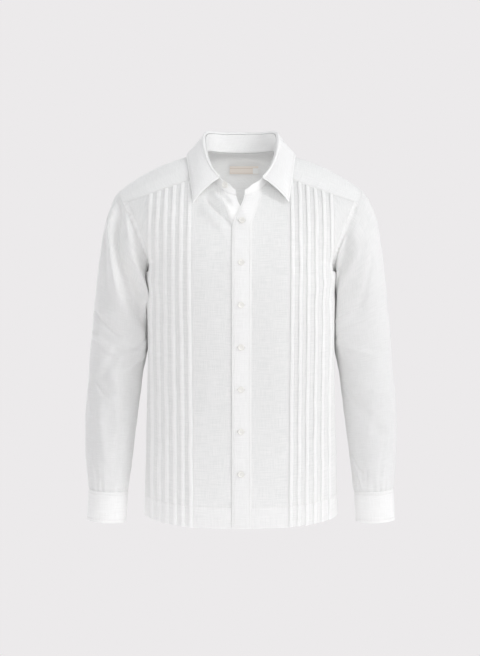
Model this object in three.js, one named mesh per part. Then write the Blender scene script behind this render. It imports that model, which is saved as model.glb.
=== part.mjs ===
// A long-sleeved guayabera shirt in white slub linen, worn by nobody but keeping its worn form.
// Millimetres, +Z up. The front faces -Y and the wearer's left is +X. The origin is the neck,
// level with the shoulders, where the wearer carries the shirt.
import * as THREE from "three";

// ---- Driving dimensions ----
const CLOTH = 1.3; // wall of a single panel
const FOLDED = 1.8; // wall of the collar, cuffs, plackets and hem, which are folded double
const SEAM = 0.25; // each panel stops this far short of its seam line
const YOKE_SEAM = 0.8; // and this far short of the curved seams of the yoke
const LIFT = 0.35; // clearance under what lies on a panel
const PLACKET_LIFT = 0.8; // clearance between the placket and the underlap
const ROUND = 2.6; // squareness of the torso's section
const SLOPED = 1.5; // the same between the armholes, where it slopes off to them

const HEM = { front: -703, back: -698, side: -690 };
const ARMPIT = -226;
const ARMHOLE = { x: 211.3, z: -147, leanX: 26.8, rise: 79, depth: 62 };
const NECK = { halfWidth: 66, back: 65, front: 78, backZ: 18.5, drop: 102.5, soft: 0.05 };
const YOKE = { neckY: -38, frontZ: -95, sag: 5, backZ: -49, backDrop: 44 };
const PLACKET = { lead: -16.6, seam: 17.4, bottomOpen: -152, openLead: 23.4, openSeam: 19.6 };
const UNDERLAP = { free: 16.4, seam: -17.2, openFree: -26, openSeam: -19.8 };
const TUCKS = { count: 6, first: 96, pitch: 15, width: 7, height: 2.2, hemPull: 4 };
const COLLAR = { fold: 6, lean: 1.05, endTurn: 150 };
const LEAF = { side: [107, -3, 4], tip: [90, -95, -98], back: [0, 86, 12], swell: 16 };
const CUFF = { halfWidth: 37.5, depth: 36, y: -35, lap: 22, topX: 254.5, bottomX: 257.5, bottomZ: -702 };
const BUTTON = { radius: 5.8, thick: 2.6, topZ: -135, pitch: 78, count: 7 };
const LABEL = { left: -23, right: 35, top: -7, bottom: -22, tab: 11, thick: 0.8 };

const WHITE = new THREE.Color("#f4f3f0");
const PEARL = new THREE.Color("#efeeea");
const LABEL_BEIGE = new THREE.Color("#ddd2c6");

// ---- Curves and walls of cloth ----
const ease = (t) => THREE.MathUtils.smoothstep(t, 0, 1);
const mix = THREE.MathUtils.lerp;
const point = (x, y, z) => new THREE.Vector3(x, y, z);
const steps = (from, to, count) =>
  Array.from({ length: count + 1 }, (_, i) => mix(from, to, i / count));

// A smooth function of one value through stations [at, value], given in rising order.
function through(...stations) {
  const last = stations.length - 1;
  const slopes = stations.map((_, i) => {
    const [a, low] = stations[Math.max(i - 1, 0)];
    const [b, high] = stations[Math.min(i + 1, last)];
    return (high - low) / (b - a);
  });
  return (at) => {
    let i = 0;
    while (i < last - 1 && at > stations[i + 1][0]) i += 1;
    const [a, low] = stations[i];
    const [b, high] = stations[i + 1];
    const k = THREE.MathUtils.clamp((at - a) / (b - a), 0, 1);
    const bend = slopes[i] * k * (1 - k) ** 2 - slopes[i + 1] * k * k * (1 - k);
    return mix(low, high, k * k * (3 - 2 * k)) + (b - a) * bend;
  };
}

// The outward normal at each point of a grid whose columns run left to right, seen from outside.
function normalsOf(grid, wrap) {
  const columns = grid[0].length;
  return grid.map((row, i) =>
    row.map((_, j) => {
      const left = row[wrap ? (j + columns - 1) % columns : Math.max(j - 1, 0)];
      const right = row[wrap ? (j + 1) % columns : Math.min(j + 1, columns - 1)];
      const below = grid[Math.max(i - 1, 0)][j];
      const above = grid[Math.min(i + 1, grid.length - 1)][j];
      const across = right.clone().sub(left);
      return across.cross(above.clone().sub(below)).normalize();
    }),
  );
}

// Pulls the edges of a grid in by a little, which leaves the gap at each seam.
function trimmed(grid, { left = SEAM, right = SEAM, bottom = SEAM, top = SEAM } = {}) {
  const pull = (edge, inner, by) => edge.add(inner.clone().sub(edge).setLength(by));
  const last = grid.length - 1;
  for (const row of grid) {
    if (left) pull(row[0], row[1], left);
    if (right) pull(row[row.length - 1], row[row.length - 2], right);
  }
  grid[0].forEach((p, j) => bottom && pull(p, grid[1][j], bottom));
  grid[last].forEach((p, j) => top && pull(p, grid[last - 1][j], top));
  return grid;
}

// Moves every point of a grid out along its normal, by a distance or by a function of row, column.
function moved(grid, by, wrap = false) {
  const normals = normalsOf(grid, wrap);
  const distance = typeof by === "function" ? by : () => by;
  return grid.map((row, i) =>
    row.map((p, j) => p.clone().addScaledVector(normals[i][j], distance(i, j))),
  );
}

// A closed wall between an outer and an inner grid; a wrapped grid makes a tube, open at its ends.
function wallBetween(outer, inner, wrap = false) {
  const rows = outer.length;
  const columns = outer[0].length;
  const places = [...outer.flat(), ...inner.flat()].flatMap((p) => p.toArray());
  const at = (i, j, back) => (back ? rows * columns : 0) + i * columns + (j % columns);
  const faces = [];
  const quad = (a, b, c, d) => faces.push(a, b, c, a, c, d);
  const across = wrap ? columns : columns - 1;
  for (let j = 0; j < across; j += 1) {
    for (let i = 0; i < rows - 1; i += 1) {
      quad(at(i, j), at(i, j + 1), at(i + 1, j + 1), at(i + 1, j));
      quad(at(i, j, 1), at(i + 1, j, 1), at(i + 1, j + 1, 1), at(i, j + 1, 1));
    }
    const top = rows - 1;
    quad(at(0, j, 1), at(0, j + 1, 1), at(0, j + 1), at(0, j));
    quad(at(top, j), at(top, j + 1), at(top, j + 1, 1), at(top, j, 1));
  }
  for (let i = 0; i < rows - 1 && !wrap; i += 1) {
    const end = columns - 1;
    quad(at(i, 0, 1), at(i, 0), at(i + 1, 0), at(i + 1, 0, 1));
    quad(at(i, end), at(i, end, 1), at(i + 1, end, 1), at(i + 1, end));
  }
  const geometry = new THREE.BufferGeometry();
  geometry.setAttribute("position", new THREE.Float32BufferAttribute(places, 3));
  geometry.setIndex(faces);
  return geometry;
}

// A wall whose outer face is the grid and whose inner face lies its thickness behind.
const wall = (grid, thick = CLOTH, wrap = false) =>
  wallBetween(grid, moved(grid, typeof thick === "function" ? thick : -thick, wrap), wrap);

// The same grid for the other half of the body, its columns turned round to face outwards again.
const mirrored = (grid) =>
  grid.map((row) => row.map((p) => point(-p.x, p.y, p.z)).reverse());

// ---- The torso's surface ----
const halfWidth = through([-703, 187], [-600, 185], [-480, 182.5], [-360, 181], [-226, 184.5]);
const frontDepth = through(
  [-703, 125], [-600, 121], [-480, 117], [-360, 121], [-250, 128],
  [-200, 123], [-150, 112], [-110, 95], [-84, 78], [-33, 37.5], [14, 2],
);
const backDepth = through(
  [-703, 118], [-600, 114], [-480, 108], [-360, 112], [-226, 121], [-100, 113], [-49, 100], [18, 66],
);

// The armhole, turned from the shoulder tip (0) by the front (positive) to the armpit (PI).
function armhole(turn) {
  const sine = Math.sin(turn);
  const cosine = Math.cos(turn);
  const scoop = sine > 0 ? 10 * sine * (1 - 0.7 * cosine) : -3 * sine;
  return point(
    ARMHOLE.x + ARMHOLE.leanX * cosine - scoop,
    -ARMHOLE.depth * sine,
    ARMHOLE.z + ARMHOLE.rise * cosine,
  );
}

// Where a panel ends at a height: the side seam, and above the armpit the armhole.
function torsoEdge(z, side) {
  if (z <= ARMPIT) return point(halfWidth(z), 0, z);
  return armhole(-side * Math.acos(Math.min((z - ARMHOLE.z) / ARMHOLE.rise, 1)));
}

// Depth of the torso at a place, in front (side -1) or behind (side 1).
function torsoY(x, z, side) {
  const edge = torsoEdge(z, side);
  const depth = side < 0 ? frontDepth(z) : backDepth(z);
  const share = Math.min(Math.abs(x) / edge.x, 1);
  const square = ROUND + 0.4 * ease((z - ARMPIT) / 76);
  const fall = mix(ROUND, SLOPED, ease((z - ARMPIT) / 90));
  const low = Math.abs(edge.y);
  return side * (low + (depth - low) * (1 - share ** square) ** (1 / fall));
}
const onTorso = (x, z, side) => point(x, torsoY(x, z, side), z);

// The hem's height: lowest in the middle, higher at the side seams.
const hemZ = (x, side) =>
  mix(side < 0 ? HEM.front : HEM.back, HEM.side, Math.min(Math.abs(x) / 187, 1) ** 3);

// The neck seam, turned from centre back (0) to centre front (180 degrees), to the wearer's left.
// Its height is nearly level behind, and falls away smoothly to the front.
function neckZ(y) {
  const fall = (t) => t + Math.sqrt(t * t + NECK.soft);
  return NECK.backZ - (NECK.drop * fall(-y / NECK.front)) / fall(1);
}
function neck(degrees) {
  const turn = THREE.MathUtils.degToRad(degrees);
  const sine = Math.sin(turn);
  const y = Math.cos(turn) * (Math.cos(turn) > 0 ? NECK.back : NECK.front);
  return point(NECK.halfWidth * Math.sign(sine) * Math.abs(sine) ** 0.83, y, neckZ(y));
}
const neckTurnAtX = (x) =>
  180 - THREE.MathUtils.radToDeg(Math.asin((Math.abs(x) / NECK.halfWidth) ** (1 / 0.83)));
const neckTurnAtY = (y) => THREE.MathUtils.radToDeg(Math.acos(y / NECK.front));

// How far the neck has fallen open at a height, 0 at the top fastened button and 1 at the neck.
const opened = (z) => ease((z - PLACKET.bottomOpen) / (-78 - PLACKET.bottomOpen));

// ---- Fronts, with the tucks ----
const NECK_CORNER = neckTurnAtX(PLACKET.seam + PLACKET.openSeam);
const YOKE_TURN = neckTurnAtY(YOKE.neckY);
const YOKE_ARM = Math.acos((YOKE.frontZ - ARMHOLE.z) / ARMHOLE.rise);
const LOW_ROWS = [0, 0.083, 0.2, 0.33, 0.46, 0.59, 0.72, 0.86, 1];
const HIGH_ROWS = [0.2, 0.4, 0.6, 0.8, 0.9, 1];
const CORNER_ROW = 0.8; // the row that ends at the top of the placket

// The two ends of a row above the armpit.
function highRow(v) {
  const onNeck = Math.max((v - CORNER_ROW) / (1 - CORNER_ROW), 0);
  const corner = neck(NECK_CORNER);
  const z = mix(ARMPIT, corner.z, Math.min(v / CORNER_ROW, 1));
  const x = PLACKET.seam + PLACKET.openSeam * opened(z);
  return {
    start: onNeck ? neck(mix(NECK_CORNER, YOKE_TURN, onNeck)) : point(Math.min(x, corner.x), 0, z),
    end: armhole(mix(Math.PI, YOKE_ARM, v)),
    sag: YOKE.sag * v,
  };
}

// A point of a high row at x: between its ends, on the torso's surface.
function highPoint({ start, end, sag }, x) {
  const share = THREE.MathUtils.clamp((x - start.x) / (end.x - start.x), 0, 1);
  const z = mix(start.z, end.z, share) - 4 * sag * share * (1 - share);
  const y = mix(torsoY(x, z, -1), end.y, ease((share - 0.82) / 0.18));
  return point(x, share < 1 ? y : end.y, z);
}

// The x of each column of a front, from its edge to the side: plain, tucks, plain.
function frontColumns(startX, endX, low) {
  const pull = TUCKS.hemPull * low;
  const line = (x) => x - pull;
  const tucks = Array.from({ length: TUCKS.count }, (_, i) => TUCKS.first + i * TUCKS.pitch);
  const first = line(TUCKS.first - TUCKS.width / 2);
  const last = line(TUCKS.first + (TUCKS.count - 1) * TUCKS.pitch + TUCKS.width / 2);
  const toSide = [0.35, 0.65, 0.87, 1].map((t) => mix(last, endX, t));
  return [
    ...[0, 0.35, 0.7].map((t) => mix(startX, first, t)),
    ...tucks.flatMap((x) => [-0.5, -0.08, 0.5].map((t) => line(x + t * TUCKS.width))),
    ...toSide,
  ];
}
const onRidge = (column) => column >= 3 && column < 3 + 3 * TUCKS.count && column % 3 === 1;

function frontGrid() {
  const low = LOW_ROWS.map((v) => {
    const z = mix(HEM.front, ARMPIT, v);
    const row = frontColumns(PLACKET.seam, halfWidth(z), 1 - v);
    return row.map((x) => {
      const level = mix(hemZ(x, -1), ARMPIT, v);
      return x >= halfWidth(z) ? torsoEdge(level, -1) : onTorso(x, level, -1);
    });
  });
  const high = HIGH_ROWS.map((v) => {
    const row = highRow(v);
    return frontColumns(row.start.x, row.end.x, 0).map((x) => highPoint(row, x));
  });
  return [...low, ...high];
}

// A front: a plain inner face, and an outer one where each tuck stands proud.
function front(grid, mirror) {
  const base = trimmed(grid, { bottom: 0, top: YOKE_SEAM });
  const outer = moved(base, (_, j) => (onRidge(j) ? TUCKS.height : 0));
  const inner = moved(base, (i) => (i < 2 ? -FOLDED : -CLOTH));
  return mirror
    ? wallBetween(mirrored(outer), mirrored(inner))
    : wallBetween(outer, inner);
}

// ---- Back ----
const backSeamZ = (x) => YOKE.backZ - YOKE.backDrop * Math.min(Math.abs(x) / 222, 1) ** 2;
const YOKE_BACK_ARM = Math.acos((YOKE.backZ - YOKE.backDrop - ARMHOLE.z) / ARMHOLE.rise);
const BACK_COLUMNS = [0, 0.16, 0.32, 0.48, 0.63, 0.77, 0.88, 0.96, 1];

function backGrid() {
  const half = [...LOW_ROWS, ...HIGH_ROWS.map((v) => 1 + v)].map((v) => {
    const high = Math.max(v - 1, 0);
    const end = v <= 1
      ? torsoEdge(mix(HEM.side, ARMPIT, v), 1)
      : armhole(-mix(Math.PI, YOKE_BACK_ARM, high));
    return BACK_COLUMNS.map((share) => {
      const x = share * end.x;
      const low = mix(hemZ(x, 1), ARMPIT, Math.min(v, 1));
      const z = high ? mix(mix(ARMPIT, backSeamZ(x), high), end.z, share ** 4) : low;
      return share < 1 ? onTorso(x, z, 1) : end;
    });
  });
  return half.map((row) => [...row.slice(1).reverse(), ...row.map((p) => point(-p.x, p.y, p.z))]);
}
const back = () =>
  wall(trimmed(backGrid(), { bottom: 0, top: YOKE_SEAM }), (i) => (i < 2 ? -FOLDED : -CLOTH));

// ---- Yoke: one piece over both shoulders, open to the front round the neck ----
const RIDGE_SWELL = 13; // how far the shoulder line stands above a straight line
const YOKE_ACROSS = steps(0, 1, 5);

const ARM_SHARE = 0.46; // share of the outer edge that lies along the armhole

// The outer edge of the yoke's left half, from the front seam (0) over the shoulder to the back (1).
function yokeEdge(u) {
  if (u <= ARM_SHARE) return armhole(mix(YOKE_ARM, -YOKE_BACK_ARM, u / ARM_SHARE));
  const end = armhole(-YOKE_BACK_ARM);
  const share = (1 - u) / (1 - ARM_SHARE);
  const z = mix(backSeamZ(share * end.x), end.z, share ** 4);
  return share === 1 ? end : onTorso(share * end.x, z, 1);
}

function yokeLine(u) {
  const from = neck(mix(YOKE_TURN, 0, u ** 0.9));
  const to = yokeEdge(u);
  const frontRow = highRow(1);
  const toFront = Math.max(1 - u / 0.25, 0) ** 2;
  return YOKE_ACROSS.map((v) => {
    const swell = 4 * v * (1 - v);
    const straight = from.clone().lerp(to, v);
    const over = ease(u / 0.12) * RIDGE_SWELL * swell * mix(0.8, 1.2, v);
    straight.z += over;
    straight.y += swell * (8 * ease((u - 0.4) / 0.4) - 6 * (1 - ease(u / 0.3)));
    const seam = highPoint(frontRow, mix(from.x, to.x, v));
    return v > 0 && v < 1 ? straight.lerp(seam, toFront) : straight;
  });
}

function yokeGrid() {
  const overShoulder = steps(0, ARM_SHARE, 6).slice(0, -1);
  const behind = [...BACK_COLUMNS].reverse().map((share) => 1 - share * (1 - ARM_SHARE));
  const half = [...overShoulder, ...behind].map(yokeLine);
  const other = half.slice(0, -1).map((line) => line.map((p) => point(-p.x, p.y, p.z))).reverse();
  const lines = [...half, ...other];
  return YOKE_ACROSS.map((_, i) => lines.map((line) => line[YOKE_ACROSS.length - 1 - i]));
}

// ---- Plackets ----
// A vertical strip of the front between two edges, each a function of height.
function stripGrid(startAt, endAt, across) {
  const rows = [...LOW_ROWS, ...HIGH_ROWS.filter((v) => v <= CORNER_ROW).map((v) => 1 + v)];
  return rows.map((v) =>
    across.map((t) => {
      const topX = mix(startAt(-78), endAt(-78), t);
      const top = neck(neckTurnAtX(topX)).z;
      const level = mix(HEM.front, ARMPIT, Math.min(v, 1));
      const z = mix(level, top, Math.max(v - 1, 0) / CORNER_ROW);
      return onTorso(mix(startAt(z), endAt(z), t), z, -1);
    }),
  );
}
const placketGrid = () =>
  stripGrid(
    (z) => PLACKET.lead + PLACKET.openLead * opened(z),
    (z) => PLACKET.seam + PLACKET.openSeam * opened(z),
    [0, 0.35, 0.7, 1],
  );
const underlapGrid = () =>
  stripGrid(
    (z) => UNDERLAP.seam + UNDERLAP.openSeam * opened(z),
    (z) => UNDERLAP.free + UNDERLAP.openFree * opened(z),
    [0, 0.35, 0.7, 1],
  );

// ---- Collar ----
const STAND_LEFT = neckTurnAtX(PLACKET.lead + PLACKET.openLead);
const STAND_RIGHT = neckTurnAtX(UNDERLAP.free + UNDERLAP.openFree);
const rollRise = through(
  [0, 44], [30, 43], [55, 42], [75, 38], [95, 31], [125, 27], [150, 25], [180, 24],
);

// The collar's inside surface at a turn (negative to the wearer's right) and a height above the seam.
function collarPoint(degrees, height) {
  const foot = neck(degrees);
  const lean = 1 + (COLLAR.lean - 1) * (height / 30);
  return point(foot.x * lean, foot.y * lean, foot.z + height);
}
const standHeight = (degrees) => rollRise(Math.abs(degrees)) - COLLAR.fold;

function standGrid() {
  const turns = steps(STAND_LEFT, -STAND_RIGHT, 30);
  return [0, 0.5, 1].map((v) =>
    turns.map((turn) => {
      const end = turn > 0 ? STAND_LEFT : STAND_RIGHT;
      const rounding = 1 - 0.45 * ease(1 - (end - Math.abs(turn)) / 12);
      return collarPoint(turn, 0.9 + v * (standHeight(turn) - 0.9) * rounding);
    }),
  );
}

// The leaf's outer edge: round the back, over the shoulder and down to the tip.
function leafEdge(degrees) {
  const turn = Math.abs(degrees);
  const side = point(...LEAF.side);
  const tip = point(...LEAF.tip);
  if (turn > 90) {
    const t = (turn - 90) / (COLLAR.endTurn - 90);
    return point(mix(side.x, tip.x, t), mix(side.y, tip.y, t ** 0.9), mix(side.z, tip.z, t));
  }
  const angle = THREE.MathUtils.degToRad(turn);
  return point(
    side.x * Math.sin(angle) ** 0.9,
    LEAF.back[1] * Math.cos(angle) ** 0.9 + side.y * Math.sin(angle),
    mix(LEAF.back[2], side.z, Math.sin(angle) ** 2),
  );
}

// One line of the leaf: up from the stand, over the fold, and down to the edge.
function leafLine(degrees) {
  const turn = Math.abs(degrees);
  const rise = rollRise(turn);
  const foot = collarPoint(turn, rise - COLLAR.fold + 1);
  const away = point(foot.x, foot.y, 0).normalize();
  const fold = (out, up) =>
    collarPoint(turn, rise - COLLAR.fold + up).addScaledVector(away, out);
  const shoulder = fold(7, 1);
  const edge = leafEdge(turn);
  const full = LEAF.swell * (1 - 0.8 * Math.exp(-(((turn - 85) / 35) ** 2)));
  const fall = [0.36, 0.7, 1].map((t) => {
    const p = shoulder.clone().lerp(edge, t);
    const swell = full * t * (1 - t);
    return p.addScaledVector(away, swell).add(point(0, 0, swell * 0.5));
  });
  const line = [foot, fold(0.6, 4.2), fold(3.4, COLLAR.fold), fold(6.2, 4.2), shoulder, ...fall];
  return line.map((p) => point(Math.sign(degrees) * p.x || 0, p.y, p.z));
}
function leafGrid() {
  const turns = steps(COLLAR.endTurn, -COLLAR.endTurn, 30);
  const lines = turns.map(leafLine);
  return lines[0].map((_, i) => lines.map((line) => line[i])).reverse();
}

// ---- Sleeves and cuffs ----
// The outline of the left sleeve along its length, from the armhole (0) to the cuff (1).
const outerX = through(
  [0, 238.5], [0.1, 259], [0.25, 273], [0.45, 289], [0.7, 301], [0.85, 300], [1, 291.5],
);
const outerZ = through(
  [0, -68], [0.1, -100], [0.25, -175], [0.45, -320], [0.7, -490], [0.85, -573], [1, -640],
);
const innerX = through(
  [0, 185.5], [0.12, 188], [0.45, 188.5], [0.6, 195], [0.8, 207], [0.9, 212], [1, 217],
);
const innerZ = through(
  [0, -226], [0.1, -240], [0.25, -275], [0.45, -352], [0.7, -500], [0.85, -580], [1, -644],
);
const sleeveDepth = through([0, 62], [0.25, 61], [0.5, 55], [0.75, 48], [1, 37]);
const sleeveY = through([0, 0], [0.25, 12], [0.45, 21], [0.6, 12], [0.8, -14], [1, -34]);
const SLEEVE_ROWS = [0, 0.04, 0.1, 0.17, 0.25, 0.33, 0.42, 0.51, 0.6, 0.69, 0.77, 0.85, 0.93, 1];
const SLEEVE_AROUND = 18;

// The largest folds of a sleeve: [turn and row at one end, turn and row at the other, width, height].
const SLEEVE_FOLDS = [
  [0.35, 0.12, 0.62, 0.42, 0.09, 3.5],
  [0.75, 0.2, 0.3, 0.6, 0.08, -3.5],
  [0.2, 0.5, 0.75, 0.66, 0.07, 3],
  [0.8, 0.62, 0.35, 0.8, 0.07, -3],
];
function foldHeight(turn, row) {
  const wrapped = (d) => d - 2 * Math.PI * Math.round(d / (2 * Math.PI));
  return SLEEVE_FOLDS.reduce((sum, [turnA, rowA, turnB, rowB, width, height]) => {
    const along = THREE.MathUtils.clamp((row - rowA) / (rowB - rowA), 0, 1);
    const fade = ease(Math.min(along, 1 - along) * 4);
    const off = wrapped(turn - Math.PI * mix(turnA, turnB, along)) / (2 * Math.PI);
    return sum + height * fade * Math.exp(-((off / width) ** 2));
  }, 0);
}

// A point of the left sleeve; the turn runs from the top line (0) by the front to the underarm (PI).
function sleevePoint(turn, row) {
  const outer = point(outerX(row), 0, outerZ(row));
  const inner = point(innerX(row), 0, innerZ(row));
  const centre = outer.clone().add(inner).multiplyScalar(0.5);
  const half = outer.sub(inner).multiplyScalar(0.5);
  const p = centre.addScaledVector(half, Math.cos(turn));
  p.y = sleeveY(row) - sleeveDepth(row) * Math.sin(turn);
  const onArmhole = armhole(turn).add(point(1.5, 0, -0.5));
  const joined = p.lerp(onArmhole, 1 - ease(row / 0.16));
  const swell = foldHeight(turn, row) * ease((row - 0.05) / 0.1);
  const out = half.clone().normalize().multiplyScalar(Math.cos(turn));
  out.y = -Math.sin(turn);
  return joined.addScaledVector(out, swell);
}
const around = (turn) => Math.atan2(Math.sin(turn), Math.cos(turn));
function sleeveGrid() {
  const turns = Array.from({ length: SLEEVE_AROUND }, (_, j) => (-2 * Math.PI * j) / SLEEVE_AROUND);
  const rows = SLEEVE_ROWS.map((row) => turns.map((turn) => sleevePoint(around(turn), row)));
  return rows.reverse();
}

// The cuff goes once round and laps over itself behind, where its button is.
const CUFF_START = -0.62 * Math.PI;
const CUFF_TURN = 2 * Math.PI + CUFF.lap / CUFF.halfWidth;
function cuffPoint(turn, v, out) {
  const top = point(CUFF.topX, CUFF.y + 0.5, -643.2);
  const bottom = point(CUFF.bottomX, CUFF.y - 1, CUFF.bottomZ);
  const centre = top.lerp(bottom, v);
  const x = (CUFF.halfWidth + out) * Math.cos(turn);
  return centre.add(point(x, -(CUFF.depth + out) * Math.sin(turn), 0.055 * x));
}
function cuffGrid() {
  const AROUND = 22;
  const lift = FOLDED + 2 * LIFT;
  return [1, 0.5, 0].map((v) =>
    steps(0, 1, AROUND).map((share) => {
      const out = lift * ease((share - 0.7) / 0.22);
      return cuffPoint(CUFF_START - CUFF_TURN * share, v, out);
    }),
  );
}
const CUFF_BUTTON_TURN = CUFF_START - 0.5 * (CUFF.lap / CUFF.halfWidth);

// The strip that finishes the slit above the cuff, on the back of the sleeve.
function sleevePlacketGrid() {
  const HALF = 0.13;
  const rows = [0.985, 0.93, 0.87, 0.8].map((row) =>
    steps(CUFF_START + HALF, CUFF_START - HALF, 2).map((turn) => sleevePoint(turn, row)),
  );
  return moved(rows, LIFT + FOLDED);
}

// ---- Buttons and label ----
function buttonGeometry() {
  const { radius, thick } = BUTTON;
  const profile = [
    [0, 0], [radius * 0.8, 0], [radius, thick * 0.45], [radius * 0.86, thick], [0, thick * 0.7],
  ];
  return new THREE.LatheGeometry(profile.map(([r, h]) => new THREE.Vector2(r, h)), 10);
}

// The outward direction of the front at a place.
function frontOutward(x, z) {
  const STEP = 4;
  const across = onTorso(x + STEP, z, -1).sub(onTorso(x - STEP, z, -1));
  return across.cross(onTorso(x, z + STEP, -1).sub(onTorso(x, z - STEP, -1))).normalize();
}

// A button standing on a surface: its axis along the outward direction.
function buttonOn(place, outward) {
  const mesh = piece(buttonGeometry(), PEARL, 0.35);
  mesh.position.copy(place).addScaledVector(outward, LIFT);
  mesh.quaternion.setFromUnitVectors(point(0, 1, 0), outward.clone().normalize());
  return mesh;
}

function labelGrid(left, right, top, bottom, off) {
  const innerFace = (x, z) => {
    const t = (NECK.backZ - z) / (NECK.backZ - YOKE.backZ);
    const y = mix(NECK.back, backDepth(YOKE.backZ), t) + 2.2 * 4 * t * (1 - t);
    return point(x, y * (1 - 0.11 * (x / 60) ** 2) - off, z);
  };
  return [bottom, top].map((z) => steps(left, right, 4).map((x) => innerFace(x, z)));
}

// ---- The shirt ----
function piece(geometry, color, roughness) {
  return new THREE.Mesh(geometry, new THREE.MeshStandardMaterial({ color, roughness }));
}
const shirt = new THREE.Group();
shirt.name = "guayabera";
function add(name, mesh) {
  mesh.name = name;
  shirt.add(mesh);
}
const cloth = (name, geometry) => add(name, piece(geometry, WHITE, 0.9));

cloth("front_left", front(frontGrid(), false));
cloth("front_right", front(frontGrid(), true));
cloth("back", back());
const yokeTrim = { left: YOKE_SEAM, right: YOKE_SEAM, bottom: YOKE_SEAM };
cloth("yoke", wall(trimmed(yokeGrid(), yokeTrim)));
cloth("button_placket", wall(moved(placketGrid(), PLACKET_LIFT + FOLDED), FOLDED));
cloth("underlap", wall(trimmed(underlapGrid(), { bottom: 0 }), FOLDED));
cloth("collar_stand", wall(standGrid(), FOLDED));
cloth("collar_leaf", wall(leafGrid(), FOLDED));

const sleeve = sleeveGrid();
const cuff = cuffGrid();
const sleevePlacket = sleevePlacketGrid();
cloth("sleeve_left", wall(sleeve, CLOTH, true));
cloth("sleeve_right", wall(mirrored(sleeve), CLOTH, true));
cloth("cuff_left", wall(cuff, FOLDED));
cloth("cuff_right", wall(mirrored(cuff), FOLDED));
cloth("sleeve_placket_left", wall(sleevePlacket, FOLDED));
cloth("sleeve_placket_right", wall(mirrored(sleevePlacket), FOLDED));

for (let i = 0; i < BUTTON.count; i += 1) {
  const z = BUTTON.topZ - i * BUTTON.pitch;
  const x = PLACKET.openLead * 0.5 * opened(z);
  const outward = frontOutward(x, z);
  const face = onTorso(x, z, -1).addScaledVector(outward, PLACKET_LIFT + FOLDED);
  add(`button_${i + 1}`, buttonOn(face, outward));
}
const standTurn = -neckTurnAtX(29);
const standFace = collarPoint(standTurn, 13).add(point(-0.4, -1.2, 0));
add("collar_button", buttonOn(standFace, point(-0.36, -0.93, 0)));
const cuffFace = cuffPoint(CUFF_BUTTON_TURN, 0.5, FOLDED + 2 * LIFT + 0.3);
const cuffOut = point(Math.cos(CUFF_BUTTON_TURN), -Math.sin(CUFF_BUTTON_TURN), 0);
add("cuff_button_left", buttonOn(cuffFace, cuffOut));
const otherSide = (p) => point(-p.x, p.y, p.z);
add("cuff_button_right", buttonOn(otherSide(cuffFace), otherSide(cuffOut)));

const { left, right, top, bottom, tab } = LABEL;
const labelBase = labelGrid(left, right, top, bottom, CLOTH + LIFT);
add("neck_label", piece(wall(labelBase, LABEL.thick), LABEL_BEIGE, 0.8));
const underLabel = CLOTH + 2 * LIFT + LABEL.thick;
const tabBase = labelGrid(right - tab, right, top - 4, bottom + 0.5, underLabel);
add("size_tab", piece(wall(tabBase, LABEL.thick), WHITE, 0.8));

export default shirt;
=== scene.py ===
"""A white slub-linen guayabera shirt, worn by nobody but keeping its worn form, built piece by piece."""

import math

import bmesh
import bpy
import numpy as np
from mathutils import Matrix, Vector, noise


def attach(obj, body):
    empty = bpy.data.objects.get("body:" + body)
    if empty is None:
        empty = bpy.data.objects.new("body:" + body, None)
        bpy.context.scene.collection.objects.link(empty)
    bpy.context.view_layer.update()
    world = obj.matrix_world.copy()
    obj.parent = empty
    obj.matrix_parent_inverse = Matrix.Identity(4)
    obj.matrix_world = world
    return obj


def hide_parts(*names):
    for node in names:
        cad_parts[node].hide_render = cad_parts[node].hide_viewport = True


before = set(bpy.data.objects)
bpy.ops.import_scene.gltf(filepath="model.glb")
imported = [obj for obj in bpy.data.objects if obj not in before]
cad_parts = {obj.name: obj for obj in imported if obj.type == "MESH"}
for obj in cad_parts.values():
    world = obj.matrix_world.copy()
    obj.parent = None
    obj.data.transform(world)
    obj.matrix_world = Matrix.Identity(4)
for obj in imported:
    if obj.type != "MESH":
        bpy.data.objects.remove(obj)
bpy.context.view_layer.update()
bpy.ops.object.select_all(action="DESELECT")

# ---------------------------------------------------------------------------------------------------
# The two fronts. Each is one panel of slub linen, from its edge at the placket to the side seam and
# armhole. Six narrow tucks are folded into it, stitched down from the yoke seam through the hem.
# The panel is drawn in millimetres on the torso's surface, then given the thickness of the cloth.
# ---------------------------------------------------------------------------------------------------
MM = 0.001
CLOTH = 0.7
SQUARE = 2.6
SLOPED = 1.5
HEM_FRONT, HEM_BACK, HEM_SIDE, HEM_BAND, HEM_HALF_WIDTH = -703, -698, -690, 40, 187
ARM_X, ARM_LEAN, ARM_DEPTH, ARM_Z, ARM_HALF_HEIGHT = 211.3, 26.8, 62, -147, 79
ARM_FRONT_SCOOP, ARM_BACK_SCOOP = 10, 3
ARMPIT = ARM_Z - ARM_HALF_HEIGHT
NECK_HALF_WIDTH, NECK_BACK, NECK_FRONT, NECK_SOFT, NECK_SQUARE = 66, 65, 78, 0.05, 0.83
NECK_TOP, NECK_FALL = 18.5, 102.5
YOKE_NECK_Y, YOKE_FRONT_Z, YOKE_BACK_Z, YOKE_BACK_DROP = -38, -95, -49, 44
PLACKET_LEAD, PLACKET_SEAM = -16.6, 17.4
OPEN_BELOW, OPEN_ABOVE, OPEN_LEAD, OPEN_SEAM = -152, -78, 23.4, 19.6
CORNER_ROW = 0.8
TUCK_COUNT, FIRST_TUCK, TUCK_PITCH, HEM_PULL = 6, 96, 15, 4

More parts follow.
